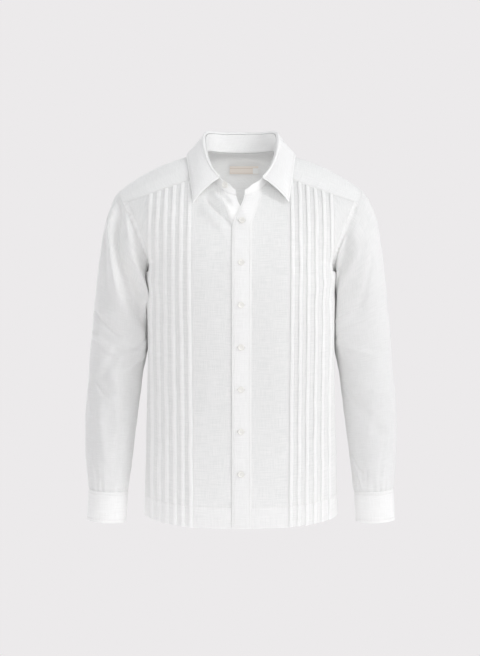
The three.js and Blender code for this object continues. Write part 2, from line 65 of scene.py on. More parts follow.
# A tuck's profile: how far along the cloth from its middle, and how far out from the panel.
TUCK_BACK, TUCK_LEAD, TUCK_WANDER, TUCK_FULLER = 4.1, 4.3, 0.8, 0.18
TUCK_PROFILE = [
    (-3.3, 0), (-3.8, 0.5), (-4.1, 1.2), (-3.8, 1.9), (-3.0, 2.2), (-1.6, 2.1),
    (0.0, 1.75), (1.6, 1.3), (2.8, 0.75), (3.4, 0.1), (3.8, -0.25), (4.3, 0),
]


def mix(low, high, share):
    return low + (high - low) * share


def smooth(t):
    t = np.clip(t, 0, 1)
    return t * t * (3 - 2 * t)


def through(*stations):
    """A smooth function of one value through a few stations (at, value)."""
    ats, values = np.array(stations, float).T
    places = np.arange(len(ats))
    low, high = np.maximum(places - 1, 0), np.minimum(places + 1, len(ats) - 1)
    slopes = (values[high] - values[low]) / (ats[high] - ats[low])

    def curve(at):
        at = np.asarray(at, float)
        i = np.clip(np.searchsorted(ats, at, side="right") - 1, 0, len(ats) - 2)
        width = ats[i + 1] - ats[i]
        k = np.clip((at - ats[i]) / width, 0, 1)
        bend = slopes[i] * k * (1 - k) ** 2 - slopes[i + 1] * k * k * (1 - k)
        return mix(values[i], values[i + 1], k * k * (3 - 2 * k)) + width * bend

    return curve


half_width = through((HEM_FRONT, HEM_HALF_WIDTH), (-600, 185), (-480, 182.5), (-360, 181), (-226, 184.5))
front_depth = through(
    (-703, 125), (-600, 121), (-480, 117), (-360, 121), (-250, 128), (-200, 123),
    (-150, 112), (-110, 95), (-84, 78), (-33, 37.5), (14, 2),
)
back_depth = through(
    (-703, 118), (-600, 114), (-480, 108), (-360, 112), (-226, 121), (-100, 113), (-49, 100), (18, 66),
)


def armhole(turn):
    """The armhole's edge, from the shoulder tip (0) by the front to the armpit (pi)."""
    sine, cosine = np.sin(turn), np.cos(turn)
    scoop = np.where(sine > 0, ARM_FRONT_SCOOP * sine * (1 - 0.7 * cosine), -ARM_BACK_SCOOP * sine)
    x = ARM_X + ARM_LEAN * cosine - scoop
    return np.stack([x, -ARM_DEPTH * sine, ARM_Z + ARM_HALF_HEIGHT * cosine], -1)


def torso_y(x, z, side):
    """Depth of the torso at a place, in front (side -1) or behind (side 1).

    Above the armpit the section is the one wide enough to pass through the armhole's edge.
    """
    turn = np.arccos(np.clip((z - ARM_Z) / ARM_HALF_HEIGHT, -1, 1))
    ring = armhole(-side * turn)
    depth = front_depth(z) if side < 0 else back_depth(z)
    square = SQUARE + 0.4 * smooth((z - ARMPIT) / 76)
    fall = mix(SQUARE, SLOPED, smooth((z - ARMPIT) / 90))
    reach = (1 - np.minimum(np.abs(ring[..., 1]) / depth, 0.97) ** fall) ** (1 / square)
    half = mix(half_width(z), ring[..., 0] / reach, smooth((z - ARMPIT) / 30))
    share = np.minimum(np.abs(x) / half, 1)
    return side * depth * (1 - share**square) ** (1 / fall)


def neck(degrees):
    """The neck seam, from centre back (0) to centre front (180), to the wearer's left."""
    turn = np.radians(degrees)
    sine, cosine = np.sin(turn), np.cos(turn)
    y = cosine * np.where(cosine > 0, NECK_BACK, NECK_FRONT)
    t = -y / NECK_FRONT
    z = NECK_TOP - NECK_FALL * (t + np.sqrt(t * t + NECK_SOFT)) / (1 + math.sqrt(1 + NECK_SOFT))
    return np.stack([NECK_HALF_WIDTH * np.sign(sine) * np.abs(sine) ** NECK_SQUARE, y, z], -1)


def neck_turn_at(x):
    """Where the neck seam passes a distance from the middle of the front."""
    return 180 - np.degrees(np.arcsin((np.abs(x) / NECK_HALF_WIDTH) ** (1 / NECK_SQUARE)))


def opened(z):
    """How far the neck has fallen open at a height: 0 at the top fastened button, 1 at the neck."""
    return smooth((z - OPEN_BELOW) / (OPEN_ABOVE - OPEN_BELOW))


NECK_CORNER = neck_turn_at(PLACKET_SEAM + OPEN_SEAM)
YOKE_TURN = math.degrees(math.acos(YOKE_NECK_Y / NECK_FRONT))
YOKE_ARM = math.acos((YOKE_FRONT_Z - ARM_Z) / ARM_HALF_HEIGHT)


def high_row(v):
    """The two ends of a front's row above the armpit, and how far it sags between them."""
    on_neck = np.maximum((v - CORNER_ROW) / (1 - CORNER_ROW), 0)
    corner = neck(NECK_CORNER)
    z = mix(ARMPIT, corner[2], np.minimum(v / CORNER_ROW, 1))
    x = np.minimum(PLACKET_SEAM + OPEN_SEAM * opened(z), corner[0])
    edge = np.stack([x, 0 * z, z], -1)
    on_ring = neck(mix(NECK_CORNER, YOKE_TURN, on_neck))
    start = np.where((on_neck > 0)[..., None], on_ring, edge)
    return start, armhole(mix(math.pi, YOKE_ARM, v)), 5 * v


def high_point(row, x):
    """A point of a high row at x: between its ends, on the torso's surface."""
    start, end, sag = row
    share = np.clip((x - start[..., 0]) / (end[..., 0] - start[..., 0]), 0, 1)
    z = mix(start[..., 2], end[..., 2], share) - 4 * sag * share * (1 - share)
    y = mix(torso_y(x, z, -1), end[..., 1], smooth((share - 0.94) / 0.06))
    return np.stack([x, np.where(share < 1, y, end[..., 1]), z], -1)


def hem_z(x, side):
    """The hem's height, which rises to the side seams."""
    middle = HEM_FRONT if side < 0 else HEM_BACK
    return mix(middle, HEM_SIDE, np.minimum(np.abs(x) / HEM_HALF_WIDTH, 1) ** 3)


def normals_of(grid, wrap=False):
    """The outward normals of a grid whose columns run left to right, seen from outside."""
    if wrap:
        across = np.roll(grid, -1, 1) - np.roll(grid, 1, 1)
    else:
        across = np.gradient(grid, axis=1)
    normal = np.cross(across, np.gradient(grid, axis=0))
    return normal / np.maximum(np.linalg.norm(normal, axis=-1, keepdims=True), 1e-9)


def lengths(grid, axis):
    """Distance along the cloth, down its columns or across its rows, from the first."""
    gaps = np.linalg.norm(np.diff(grid, axis=axis), axis=-1)
    return np.insert(np.cumsum(gaps, axis), 0, 0, axis)


def from_sides(grid):
    """Distance along the cloth from the nearer of its two side edges."""
    return np.minimum(lengths(grid, 1), lengths(grid[:, ::-1], 1)[:, ::-1])


def ridge(off, at, width):
    """A soft ridge, 1 high, along a line at a distance."""
    return np.exp(-(((off - at) / width) ** 2))


def raised_by(grid, out):
    """The grid moved outwards along its own normals."""
    return grid + normals_of(grid) * out[..., None]


def rumple(places, size, seed):
    """Soft, uneven waves about size millimetres across, between -1 and 1."""
    shift = Vector((seed * 7.3, seed * 3.1, seed * 11.7))
    flat = places.reshape(-1, places.shape[-1]) / size
    return np.array([noise.noise(Vector(p) + shift) for p in flat]).reshape(places.shape[:-1])


def crease(along, across, strokes):
    """Creases laid one by one: each from one point to another, with a width and a height out."""
    total = np.zeros(along.shape)
    for a0, b0, a1, b1, width, height in strokes:
        run = np.array([a1 - a0, b1 - b0], float)
        reach = run @ run
        t = np.clip(((along - a0) * run[0] + (across - b0) * run[1]) / reach, -0.3, 1.3)
        off = np.hypot(along - a0 - t * run[0], across - b0 - t * run[1])
        fade = smooth((t + 0.3) / 0.45) * smooth((1.3 - t) / 0.45)
        total += height * fade * np.exp(-((off / width) ** 2))
    return total


def linear(code):
    """An sRGB colour such as "#f4f3f0" as linear red, green, blue, alpha."""
    parts = [int(code[i : i + 2], 16) / 255 for i in (1, 3, 5)]
    return [c / 12.92 if c <= 0.04045 else ((c + 0.055) / 1.055) ** 2.4 for c in parts] + [1]


def node(tree, kind, settings=None, **inputs):
    """Adds a node, with its settings, and its sockets set or linked by name or number."""
    made = tree.nodes.new(kind)
    for name, value in (settings or {}).items():
        setattr(made, name, value)
    for name, value in inputs.items():
        socket = made.inputs[int(name[1:]) if name[1:].isdigit() else name.replace("_", " ")]
        if isinstance(value, bpy.types.NodeSocket):
            tree.links.new(value, socket)
        else:
            socket.default_value = value
    return made


def surface(name, **values):
    """A new material with its nodes and its shader, whose plain values are set."""
    made = bpy.data.materials.new(name)
    made.use_nodes = True
    shader = made.node_tree.nodes["Principled BSDF"]
    for key, value in values.items():
        shader.inputs[key.replace("_", " ")].default_value = value
    return made, made.node_tree, shader


def blend(tree, share, low, high):
    """A blend of two colours, or of the colours from two sockets."""
    return node(tree, "ShaderNodeMix", {"data_type": "RGBA"}, _0=share, _6=low, _7=high).outputs[2]


# Slubs in the two directions of the thread, each as its width and height on the cloth.
SLUBS = ((1.2, 26), (30, 1.3))


def woven_linen(name, one_ply_painted_shade, folded_painted_light, roughness):
    """Slub linen: plain weave of uneven thread, so thicker threads run as short bars both ways.

    Thread is about 0.6 mm apart. That is too fine to show, so slubs are drawn 1.2 mm across.
    Painted shade and light: cloth of one ply is painted greyer, for the shaded inside of the shirt seen
    through it, and folded cloth of two or more plies is painted lighter; a point attribute gives the share.
    """
    made, tree, shader = surface(
        name, Roughness=roughness, IOR=1.53, Specular_IOR_Level=0.25, Sheen_Weight=0.15,
        Sheen_Roughness=0.5, Subsurface_Weight=0.8, Subsurface_Radius=(1, 1, 1), Subsurface_Scale=2.4 * MM,
    )
    uv = node(tree, "ShaderNodeUVMap").outputs["UV"]
    bars = []
    for cell in SLUBS:
        scale = [1 / (side * MM) for side in cell] + [1]
        place = node(tree, "ShaderNodeMapping", None, Vector=uv, Scale=scale)
        spread = node(tree, "ShaderNodeTexNoise", {"noise_dimensions": "2D"}, Vector=place.outputs[0],
                      Scale=1.0, Detail=2.0, Roughness=0.6)
        bars.append(spread.outputs["Fac"])
    weave = node(tree, "ShaderNodeMath", {"operation": "ADD"}, _0=bars[0], _1=bars[1])
    shade = node(tree, "ShaderNodeMapRange", None, Value=weave.outputs[0],
                 From_Min=0.75, From_Max=1.25, To_Min=0.0, To_Max=1.0)
    # Painted shade and painted light: the greyer pair of tones for cloth of one ply, the lighter pair for
    # folded cloth.
    single, folded = (
        blend(tree, shade.outputs[0], linear(low), linear(high)) for low, high in (one_ply_painted_shade, folded_painted_light)
    )
    painted_light_share = node(tree, "ShaderNodeAttribute", {"attribute_name": "double_and_painted_light"})
    tree.links.new(blend(tree, painted_light_share.outputs["Fac"], single, folded), shader.inputs["Base Color"])
    bump = node(tree, "ShaderNodeBump", None, Height=weave.outputs[0], Strength=0.25, Distance=0.0004)
    tree.links.new(bump.outputs[0], shader.inputs["Normal"])
    return made


# The linen's tones: the first pair, for cloth of one ply, carries painted shade; the second, for folded
# cloth, carries painted light.
LINEN = woven_linen("slub_linen", ("#e3e4e3", "#eeeeed"), ("#f0f0ef", "#f7f7f6"), 0.9)


def placed(name, data):
    """A new object in the scene."""
    made = bpy.data.objects.new(name, data)
    bpy.context.collection.objects.link(made)
    return made


def cloth_piece(name, grid, cloth_at, thickness, double_and_painted_light, wrap=False, material=None):
    """A piece of cloth from a grid of its outer face, its thread directions and its share of painted light,
    set over its doubled places.
    """
    rows, columns = grid.shape[:2]
    across = columns if wrap else columns - 1
    index = np.arange(rows * columns).reshape(rows, columns)
    mesh = bpy.data.meshes.new(name + "_cloth")
    j = np.arange(across)
    after = (j + 1) % columns
    quads = np.stack([index[:-1][:, j], index[:-1][:, after], index[1:][:, after], index[1:][:, j]], -1)
    mesh.from_pydata((grid.reshape(-1, 3) * MM).tolist(), [], quads.reshape(-1, 4).tolist())
    corners = np.stack([cloth_at[:-1][:, j], cloth_at[:-1][:, j + 1],
                        cloth_at[1:][:, j + 1], cloth_at[1:][:, j]], 2)
    layer = mesh.uv_layers.new(name="cloth")
    layer.data.foreach_set("uv", (corners.reshape(-1, 2) * MM).ravel())
    # The share of painted light at each point, read by the linen's colour.
    painted_light_share = mesh.attributes.new("double_and_painted_light", "FLOAT", "POINT")
    painted_light_share.data.foreach_set("value", np.broadcast_to(double_and_painted_light, grid.shape[:2]).ravel().astype(float))
    mesh.materials.append(material or LINEN)
    made = placed(name + "_cloth", mesh)
    bpy.context.view_layer.objects.active = made
    made.select_set(True)
    wall = made.modifiers.new("thickness", "SOLIDIFY")
    wall.thickness = thickness * MM
    wall.offset = -1
    bpy.ops.object.modifier_apply(modifier=wall.name)
    bpy.ops.object.shade_smooth_by_angle(angle=math.radians(50))
    made.select_set(False)
    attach(made, "root")
    return made


def cloth_places(grid, start=0.0, top=0.0):
    """Places on the flat cloth: across from the first column, and up from the first row."""
    across = lengths(grid, 1)
    up = lengths(grid, 0)
    across -= across[:, :1] - np.broadcast_to(np.asarray(start, float), (len(grid),))[:, None]
    return np.stack([across, up + top], -1)


def turned_over(grid, flat=False):
    """The same grid for the other half of the body, its columns turned to face outwards again."""
    return grid[:, ::-1] * (np.array([-1, 1]) if flat else np.array([-1, 1, 1]))


# Rows of a panel: close together in the hem, then even to the armpit (1), and on to the yoke (2).
HEM_ROWS = np.array([0, 1, 4, 8, 14, 20, 26, 31, 35, 37.5, 38.8, 39.6, 40.4, 41.2, 42.5, 45])
RISE = ARMPIT - HEM_FRONT
LOW_ROWS = np.concatenate([HEM_ROWS, np.linspace(49, RISE, 100)]) / RISE
HIGH_ROWS = np.concatenate([np.linspace(0, CORNER_ROW, 60)[1:], np.linspace(CORNER_ROW, 1, 20)[1:]])
# The hem band is painted halfway to the lighter linen tone: painted light.
HEM_STITCH_IN, HEM_PAINTED_LIGHT = HEM_BAND - 1, 0.5
FELLED, FELLED_STITCH, PUCKER_STEP, PUCKER_HEIGHT = 9, 7.5, 8, 0.8


def hem_relief(height):
    """The hem's folded band, a little thicker, with the furrow of its stitching on top."""
    band = 0.5 * smooth((HEM_BAND - height) / 1.5)
    return band - 0.5 * ridge(height, HEM_STITCH_IN, 1.0)


def from_armhole(grid, front):
    """Distance from the nearest point of the left armhole's edge, and how far round it that lies."""
    ring = armhole(front * np.linspace(0, math.pi, 240))
    off, along = np.full(grid.shape[:2], 1000.0), np.zeros(grid.shape[:2])
    near = (grid[..., 0] > 150) & (grid[..., 2] > ARMPIT - 30)
    gaps = np.linalg.norm(grid[near][:, None] - ring, axis=-1)
    off[near] = gaps.min(axis=1)
    along[near] = lengths(ring[None], 1)[0][gaps.argmin(axis=1)]
    return off, along


def seam_relief(off, along, seed):
    """A felled seam: the folded edge lies raised beside it, held by a row of puckered stitches."""
    band = 0.7 * smooth((FELLED + 0.6 - off) / 1.2)
    pucker = np.sin(2 * math.pi * along / PUCKER_STEP + 1.5 * np.sin(along / 19 + seed))
    held = -0.9 * (1 + 0.7 * pucker) * ridge(off, FELLED_STITCH, 1.3)
    return band + held + PUCKER_HEIGHT * pucker * smooth((15 - off) / 8) * smooth(off / 2.5)


# Creases as x and z of one end, x and z of the other, width and height out.
FRONT_CREASES = [
    (178, -236, 130, -268, 9, 1.6), (176, -262, 140, -318, 12, -1.6), (150, -300, 120, -420, 16, 1.2),
    (168, -420, 160, -560, 14, -1.3), (60, -330, 66, -520, 20, 1.0), (95, -560, 88, -660, 14, 1.0),
    (40, -150, 52, -240, 16, -1.0), (140, -110, 168, -190, 12, 1.2),
]
# Where the neck falls open, the right front is drawn into slanting creases towards the top button.
NECK_CREASES = [
    (62, -92, 22, -134, 5.5, -8.5), (50, -84, 20, -114, 6, 6.5), (70, -112, 34, -150, 8, 6.0),
    (44, -74, 24, -96, 4.5, -5.0),
]
# The faces that are topstitched at the end, each with the edge and the distance of its rows.
topstitched = {}


def front_panel(side):
    """One front, built for the wearer's left and turned over for the right."""
    name = "front_left" if side > 0 else "front_right"
    tuck_at = [FIRST_TUCK + i * TUCK_PITCH for i in range(TUCK_COUNT)]
    even = np.linspace(-TUCK_BACK, TUCK_LEAD, len(TUCK_PROFILE))
    columns, shifts, heights, kinds = [], [], [], []

    low_z = mix(HEM_FRONT, ARMPIT, LOW_ROWS)
    rows = high_row(HIGH_ROWS)
    start = np.concatenate([np.full(len(low_z), PLACKET_SEAM), rows[0][:, 0]])
    end = np.concatenate([half_width(low_z), rows[1][:, 0]])
    height = np.concatenate([LOW_ROWS, 1 + HIGH_ROWS])
    pull = HEM_PULL * np.maximum(1 - height, 0)
    about_z = np.concatenate([low_z, mix(ARMPIT, -70, HIGH_ROWS)])

    def add(x, shift=0.0, out=0.0, tuck=0.0):
        columns.append(x)
        shifts.append(shift)
        heights.append(out)
        kinds.append(tuck)

    first = tuck_at[0] - TUCK_BACK - pull
    for t in np.linspace(0, 1, 26)[:-1]:
        add(mix(start, first, t))
    for i, centre in enumerate(tuck_at):
        wander = np.array([noise.noise(Vector((z / 60, i * 5.3 + side, 0))) for z in about_z])
        profile = TUCK_PROFILE if side > 0 else [(-a, h) for a, h in TUCK_PROFILE[::-1]]
        marks = even if side > 0 else -even[::-1]
        for mark, (along, out) in zip(marks, profile):
            place = centre + mark - pull + TUCK_WANDER * wander
            add(place, along - mark, out * (1 + TUCK_FULLER * wander), 1)
        if i < TUCK_COUNT - 1:
            gap_start, gap_end = centre + marks[-1], tuck_at[i + 1] + marks[0]
            for t in (0.25, 0.5, 0.75):
                add(mix(gap_start, gap_end, t) - pull)
    last = tuck_at[-1] + TUCK_LEAD - pull
    squeeze = mix(2.4, 1.2, np.clip(height - 1, 0, 1))
    for t in np.linspace(0, 1, 27)[1:]:
        add(end - (end - last) * (1 - t) ** squeeze)

    x = np.stack(columns, 1)
    count = len(LOW_ROWS)
    low_x = x[:count]
    low_share = np.broadcast_to(LOW_ROWS[:, None], low_x.shape)
    level = mix(hem_z(low_x, -1), ARMPIT, low_share)
    low = np.stack([low_x, torso_y(low_x, level, -1), level], -1)
    grid = np.concatenate([low, high_point([part[:, None] for part in rows], x[count:])])
    cloth_at = cloth_places(grid, start)
    normal = normals_of(grid)
    along = np.gradient(grid, axis=1)
    along /= np.linalg.norm(along, axis=-1, keepdims=True)

    raised = np.stack([np.broadcast_to(h, len(x)) for h in heights], 1)
    shift = np.stack([np.broadcast_to(s, len(x)) for s in shifts], 1)
    above_hem = lengths(grid, 0)
    out = raised + hem_relief(above_hem)
    off_arm, arm_run = from_armhole(grid, 1)
    out = out + seam_relief(off_arm, arm_run, 1.0) * (1 - np.minimum(raised, 1))
    out += 0.7 * rumple(grid, 62, 1 + side) + 0.3 * rumple(grid, 19, 5 + side)
    out += crease(grid[..., 0], grid[..., 2], FRONT_CREASES)
    if side < 0:
        out += crease(grid[..., 0], grid[..., 2], NECK_CREASES)
    grid = grid + normal * out[..., None] + along * shift[..., None]

    tucked = np.stack([np.broadcast_to(float(k), len(x)) for k in kinds], 1)
    # Painted light: the tucks and the felled armhole seam take the lighter linen tone in full, the hem band
    # halfway.
    double_and_painted_light = np.maximum(tucked * (raised > 0.4), HEM_PAINTED_LIGHT * (above_hem < HEM_BAND))
    double_and_painted_light = np.maximum(double_and_painted_light, off_arm < FELLED)
    if side < 0:
        grid, cloth_at, double_and_painted_light = turned_over(grid), turned_over(cloth_at, True), double_and_painted_light[:, ::-1]
    topstitched[name] = [(grid, "bottom", HEM_STITCH_IN)]
    made = cloth_piece(name, grid, cloth_at, CLOTH, double_and_painted_light)
    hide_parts(name)


front_panel(1)
front_panel(-1)

# ---------------------------------------------------------------------------------------------------
# The back: one plain panel from side seam to side seam, hung from the yoke, with the same deep hem.
# ---------------------------------------------------------------------------------------------------
YOKE_BACK_ARM = math.acos((YOKE_BACK_Z - YOKE_BACK_DROP - ARM_Z) / ARM_HALF_HEIGHT)
YOKE_BACK_HALF_WIDTH = 222
BACK_CREASES = [
    (120, -130, 105, -300, 16, 4.5), (-126, -140, -104, -310, 16, 4.5), (60, -90, 52, -260, 20, -3.5),
    (-64, -96, -50, -270, 20, -3.5), (150, -300, 110, -430, 14, 4.0), (-152, -310, -108, -440, 14, 4.0),
    (30, -330, 46, -560, 20, 3.2), (-40, -360, -30, -600, 22, -3.5), (120, -470, 130, -640, 16, 3.5),
    (-124, -480, -134, -650, 16, 3.5), (0, -200, 6, -380, 22, 2.8), (84, -330, 78, -520, 14, -3.0),
    (-86, -340, -92, -500, 14, -3.0),
]


def back_seam_z(x):
    return YOKE_BACK_Z - YOKE_BACK_DROP * np.minimum(np.abs(x) / YOKE_BACK_HALF_WIDTH, 1) ** 2


def back_half():
    """The left half of the back, from its middle to the side seam and armhole."""
    height = np.concatenate([LOW_ROWS, 1 + HIGH_ROWS])[:, None]
    high = np.maximum(height - 1, 0)
    low_z = mix(HEM_SIDE, ARMPIT, np.minimum(height, 1))
    ring = armhole(-mix(math.pi, YOKE_BACK_ARM, high))
    end_x = np.where(high > 0, ring[..., 0], half_width(low_z))
    t = np.linspace(0, 1, 75)
    share = 1 - (1 - t) ** mix(2.2, 1.4, np.clip(high, 0, 1))
    x = share * end_x
    low = mix(hem_z(x, 1), ARMPIT, np.minimum(height, 1))
    up = mix(mix(ARMPIT, back_seam_z(x), high), mix(ARMPIT, ring[..., 2], 1), share**4)
    z = np.where(high > 0, up, low)
    y = torso_y(x, z, 1)
    y[:, -1] = np.where(high > 0, ring[..., 1], 0)[:, 0]
    return np.stack([x, y, z], -1)


half = back_half()
grid = np.concatenate([half[:, :0:-1], half * np.array([-1, 1, 1])], 1)
cloth_at = cloth_places(grid)
above_hem = lengths(grid, 0)
off_arm, arm_run = from_armhole(np.stack([np.abs(grid[..., 0]), grid[..., 1], grid[..., 2]], -1), -1)
out = hem_relief(above_hem) + seam_relief(off_arm, arm_run, 3.0)
out += 1.0 * rumple(grid, 75, 21) + 0.35 * rumple(grid, 20, 22)
out += crease(grid[..., 0], grid[..., 2], BACK_CREASES)
grid = back_face = raised_by(grid, out)
# Painted light: the felled armhole seam takes the lighter linen tone in full, the hem band halfway.
double_and_painted_light = np.maximum(HEM_PAINTED_LIGHT * (above_hem < HEM_BAND), off_arm < FELLED)
back = cloth_piece("back", grid, cloth_at, CLOTH, double_and_painted_light)
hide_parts("back")

# ---------------------------------------------------------------------------------------------------
# The yoke: one piece, cut double, that goes over both shoulders and round the neck. The fronts and
# the back hang from it, and a row of stitches runs beside each of its seams.
# ---------------------------------------------------------------------------------------------------
ARM_SHARE, RIDGE_SWELL, YOKE_STITCH_IN, YOKE_FRONT_STITCH_IN = 0.46, 13, 5, 4
YOKE_ACROSS = np.linspace(0, 1, 36)


def yoke_edge(u):
    """The yoke's outer edge: back along the armhole, then in along the back seam to its middle."""
    if u <= ARM_SHARE:
        return armhole(mix(YOKE_ARM, -YOKE_BACK_ARM, u / ARM_SHARE))
    end = armhole(-YOKE_BACK_ARM)
    share = (1 - u) / (1 - ARM_SHARE)
    z = mix(back_seam_z(share * end[0]), end[2], share**4)
    return np.array([share * end[0], torso_y(share * end[0], z, 1), z])


def yoke_line(u):
    """One line of the yoke, from the neck seam out to its edge."""
    v = YOKE_ACROSS
    inner, outer = neck(mix(YOKE_TURN, 0, u**0.9)), yoke_edge(u)
    swell = 4 * v * (1 - v)
    line = mix(inner, outer, v[:, None])
    line[:, 2] += smooth(u / 0.12) * RIDGE_SWELL * swell * mix(0.8, 1.2, v)
    line[:, 1] += swell * (8 * smooth((u - 0.4) / 0.4) - 6 * (1 - smooth(u / 0.3)))
    seam = high_point([part[None] for part in map(np.asarray, high_row(np.array(1.0)))],
                      mix(inner[0], outer[0], v))
    to_front = max(1 - u / 0.25, 0) ** 2
    inside = (v > 0) & (v < 1)
    line[inside] = mix(line, seam, to_front)[inside]
    return line


half = np.array([yoke_line(u) for u in np.linspace(0, 1, 100)])
lines = np.concatenate([half, half[-2::-1] * np.array([-1, 1, 1])])
grid = lines[:, ::-1].transpose(1, 0, 2)
cloth_at = cloth_places(grid)
off_edge = lengths(grid, 0)
run = lengths(grid[:1], 1)
furrow = ridge(off_edge, YOKE_STITCH_IN, 1.1) + ridge(from_sides(grid), YOKE_FRONT_STITCH_IN, 1.0)
out = 0.3 - 0.4 * furrow * (1 + 0.5 * np.sin(run / 1.3)) + 0.5 * rumple(grid, 48, 31)
grid = yoke_face = raised_by(grid, out)
# The yoke is painted halfway to the lighter linen tone: painted light.
yoke = cloth_piece("yoke", grid, cloth_at, 1.1, 0.5)
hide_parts("yoke")

# ---------------------------------------------------------------------------------------------------
# The plackets: a folded band of linen down each front edge. The wearer's left one lies on top and
# carries the buttonholes; the right one lies under it and carries the buttons. Both open at the neck.
# ---------------------------------------------------------------------------------------------------
DOUBLE_CLOTH = 1.5
PLACKET_LIFT = 0.8 + 1.8
UNDERLAP_FREE, UNDERLAP_SEAM, UNDERLAP_OPEN_FREE, UNDERLAP_OPEN_SEAM = 16.4, -17.2, -26, -19.8
BUTTON_Z = [-135 - 78 * i for i in range(7)]
STITCH_IN = 3.2


def strip_grid(start_at, end_at, columns):
    """A vertical band of the front between two edges, each a function of height."""
    rows = np.concatenate([np.linspace(0, 1, 150), 1 + np.linspace(0, CORNER_ROW, 46)[1:]])[:, None]
    t = np.linspace(0, 1, columns)[None]
    top_x = mix(start_at(OPEN_ABOVE), end_at(OPEN_ABOVE), t)
    top = neck(neck_turn_at(top_x))[..., 2]
    z = mix(mix(HEM_FRONT, ARMPIT, np.minimum(rows, 1)), top, np.maximum(rows - 1, 0) / CORNER_ROW)
    x = mix(start_at(z), end_at(z), t)
    return np.stack([x, torso_y(x, z, -1), z], -1)


def band_relief(grid, seed):
    """Edges that roll over a little, the furrow of a stitch row inside each, and a soft wave."""
    off, run = from_sides(grid), lengths(grid, 0)
    pucker = 1 + 0.6 * np.sin(2 * math.pi * run / 9 + seed)
    roll = -0.5 * np.exp(-off / 0.8)
    furrow = -0.5 * pucker * ridge(off, STITCH_IN, 1.0)
    return roll + furrow + 0.5 * rumple(grid, 40, seed) + 0.6 * rumple(grid, 17, seed + 5)


placket_grid = strip_grid(
    lambda z: PLACKET_LEAD + OPEN_LEAD * opened(z), lambda z: PLACKET_SEAM + 1.5 + OPEN_SEAM * opened(z), 30
)
places = cloth_places(placket_grid)
out = band_relief(placket_grid, 41)
out = out + mix(PLACKET_LIFT, 1.7, smooth(np.linspace(-0.5, 1, 30)))[None]
placket_face = raised_by(placket_grid, out)
# The placket, like the other folded bands of the collar and cuffs, takes the lighter linen tone in full:
# painted light.
placket = cloth_piece("button_placket", placket_face, places, DOUBLE_CLOTH, 1.0)
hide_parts("button_placket")

underlap_grid = strip_grid(
    lambda z: UNDERLAP_SEAM + UNDERLAP_OPEN_SEAM * opened(z),
    lambda z: UNDERLAP_FREE + UNDERLAP_OPEN_FREE * opened(z), 26,
)
out = band_relief(underlap_grid, 43) + crease(-underlap_grid[..., 0], underlap_grid[..., 2], NECK_CREASES)
underlap_face = raised_by(underlap_grid, out)
underlap = cloth_piece(
    "underlap", underlap_face, cloth_places(underlap_grid), DOUBLE_CLOTH, 1.0
)
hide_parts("underlap")

# ---------------------------------------------------------------------------------------------------
# The collar: a stand that rises from the neck seam, and a leaf that folds over it and falls to two
# points. Both are cut double with a stiffening layer, so they hold soft, even curves.
# ---------------------------------------------------------------------------------------------------
COLLAR_FOLD, COLLAR_END = 6, 150
LEAF_SIDE, LEAF_TIP, LEAF_BACK, LEAF_SWELL = (107, -3, 4), (90, -95, -98), (0, 86, 12), 16
STAND_LEFT = float(neck_turn_at(PLACKET_LEAD + OPEN_LEAD))
STAND_RIGHT = float(neck_turn_at(UNDERLAP_FREE + UNDERLAP_OPEN_FREE))
roll_rise = through((0, 44), (30, 43), (55, 42), (75, 38), (95, 31), (125, 27), (150, 25), (180, 24))


def collar_point(degrees, height):
    """The collar's inside surface at a turn and a height above the neck seam."""
    foot = neck(degrees)
    lean = 1 + 0.05 * np.asarray(height) / 30
    return np.stack([foot[..., 0] * lean, foot[..., 1] * lean, foot[..., 2] + height], -1)


turns = np.linspace(STAND_LEFT, -STAND_RIGHT, 150)[None]
end = np.where(turns > 0, STAND_LEFT, STAND_RIGHT)
rounding = 1 - 0.45 * smooth(1 - (end - np.abs(turns)) / 12)
rise = (roll_rise(np.abs(turns)) - COLLAR_FOLD - 0.9) * rounding
up = np.linspace(0, 1, 14)[:, None]
stand_grid = collar_point(np.broadcast_to(turns, (14, 150)), 0.9 + up * rise)
stand_face = raised_by(stand_grid, 0.25 * rumple(stand_grid, 30, 51))
stand = cloth_piece(
    "collar_stand", stand_face, cloth_places(stand_grid), DOUBLE_CLOTH, 1.0
)
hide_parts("collar_stand")


def leaf_edge(degrees):
    """The leaf's outer edge: round the back, over the shoulder and down to the tip."""
    turn = np.abs(degrees)
    if turn > 90:
        t = (turn - 90) / (COLLAR_END - 90)
        return np.array([mix(LEAF_SIDE[0], LEAF_TIP[0], t), mix(LEAF_SIDE[1], LEAF_TIP[1], t**0.9),
                         mix(LEAF_SIDE[2], LEAF_TIP[2], t)])
    sine, cosine = math.sin(math.radians(turn)), max(math.cos(math.radians(turn)), 0)
    return np.array([LEAF_SIDE[0] * sine**0.9, LEAF_BACK[1] * cosine**0.9 + LEAF_SIDE[1] * sine,
                     mix(LEAF_BACK[2], LEAF_SIDE[2], sine**2)])


def leaf_line(degrees):
    """One line of the leaf: up from the stand, over the fold, and down to the edge."""
    turn = abs(degrees)
    rise = float(roll_rise(turn))
    foot = collar_point(turn, rise - COLLAR_FOLD + 1)
    away = np.array([foot[0], foot[1], 0]) / math.hypot(foot[0], foot[1])
    bend = [foot]
    for share in np.linspace(0.06, 1, 10):
        angle = math.pi * share
        out, up = 3.5 * (1 - math.cos(angle)), 1 + (COLLAR_FOLD - 1) * math.sin(angle)
        bend.append(collar_point(turn, rise - COLLAR_FOLD + up) + away * out)
    edge = leaf_edge(turn)
    full = LEAF_SWELL * (1 - 0.8 * math.exp(-(((turn - 85) / 35) ** 2)))
    for t in np.linspace(0, 1, 26)[1:]:
        swell = full * t * (1 - t)
        bend.append(mix(bend[10], edge, t) + away * swell + np.array([0, 0, swell * 0.5]))
    line = np.array(bend)
    return line * [math.copysign(1, degrees) if degrees else 0, 1, 1]


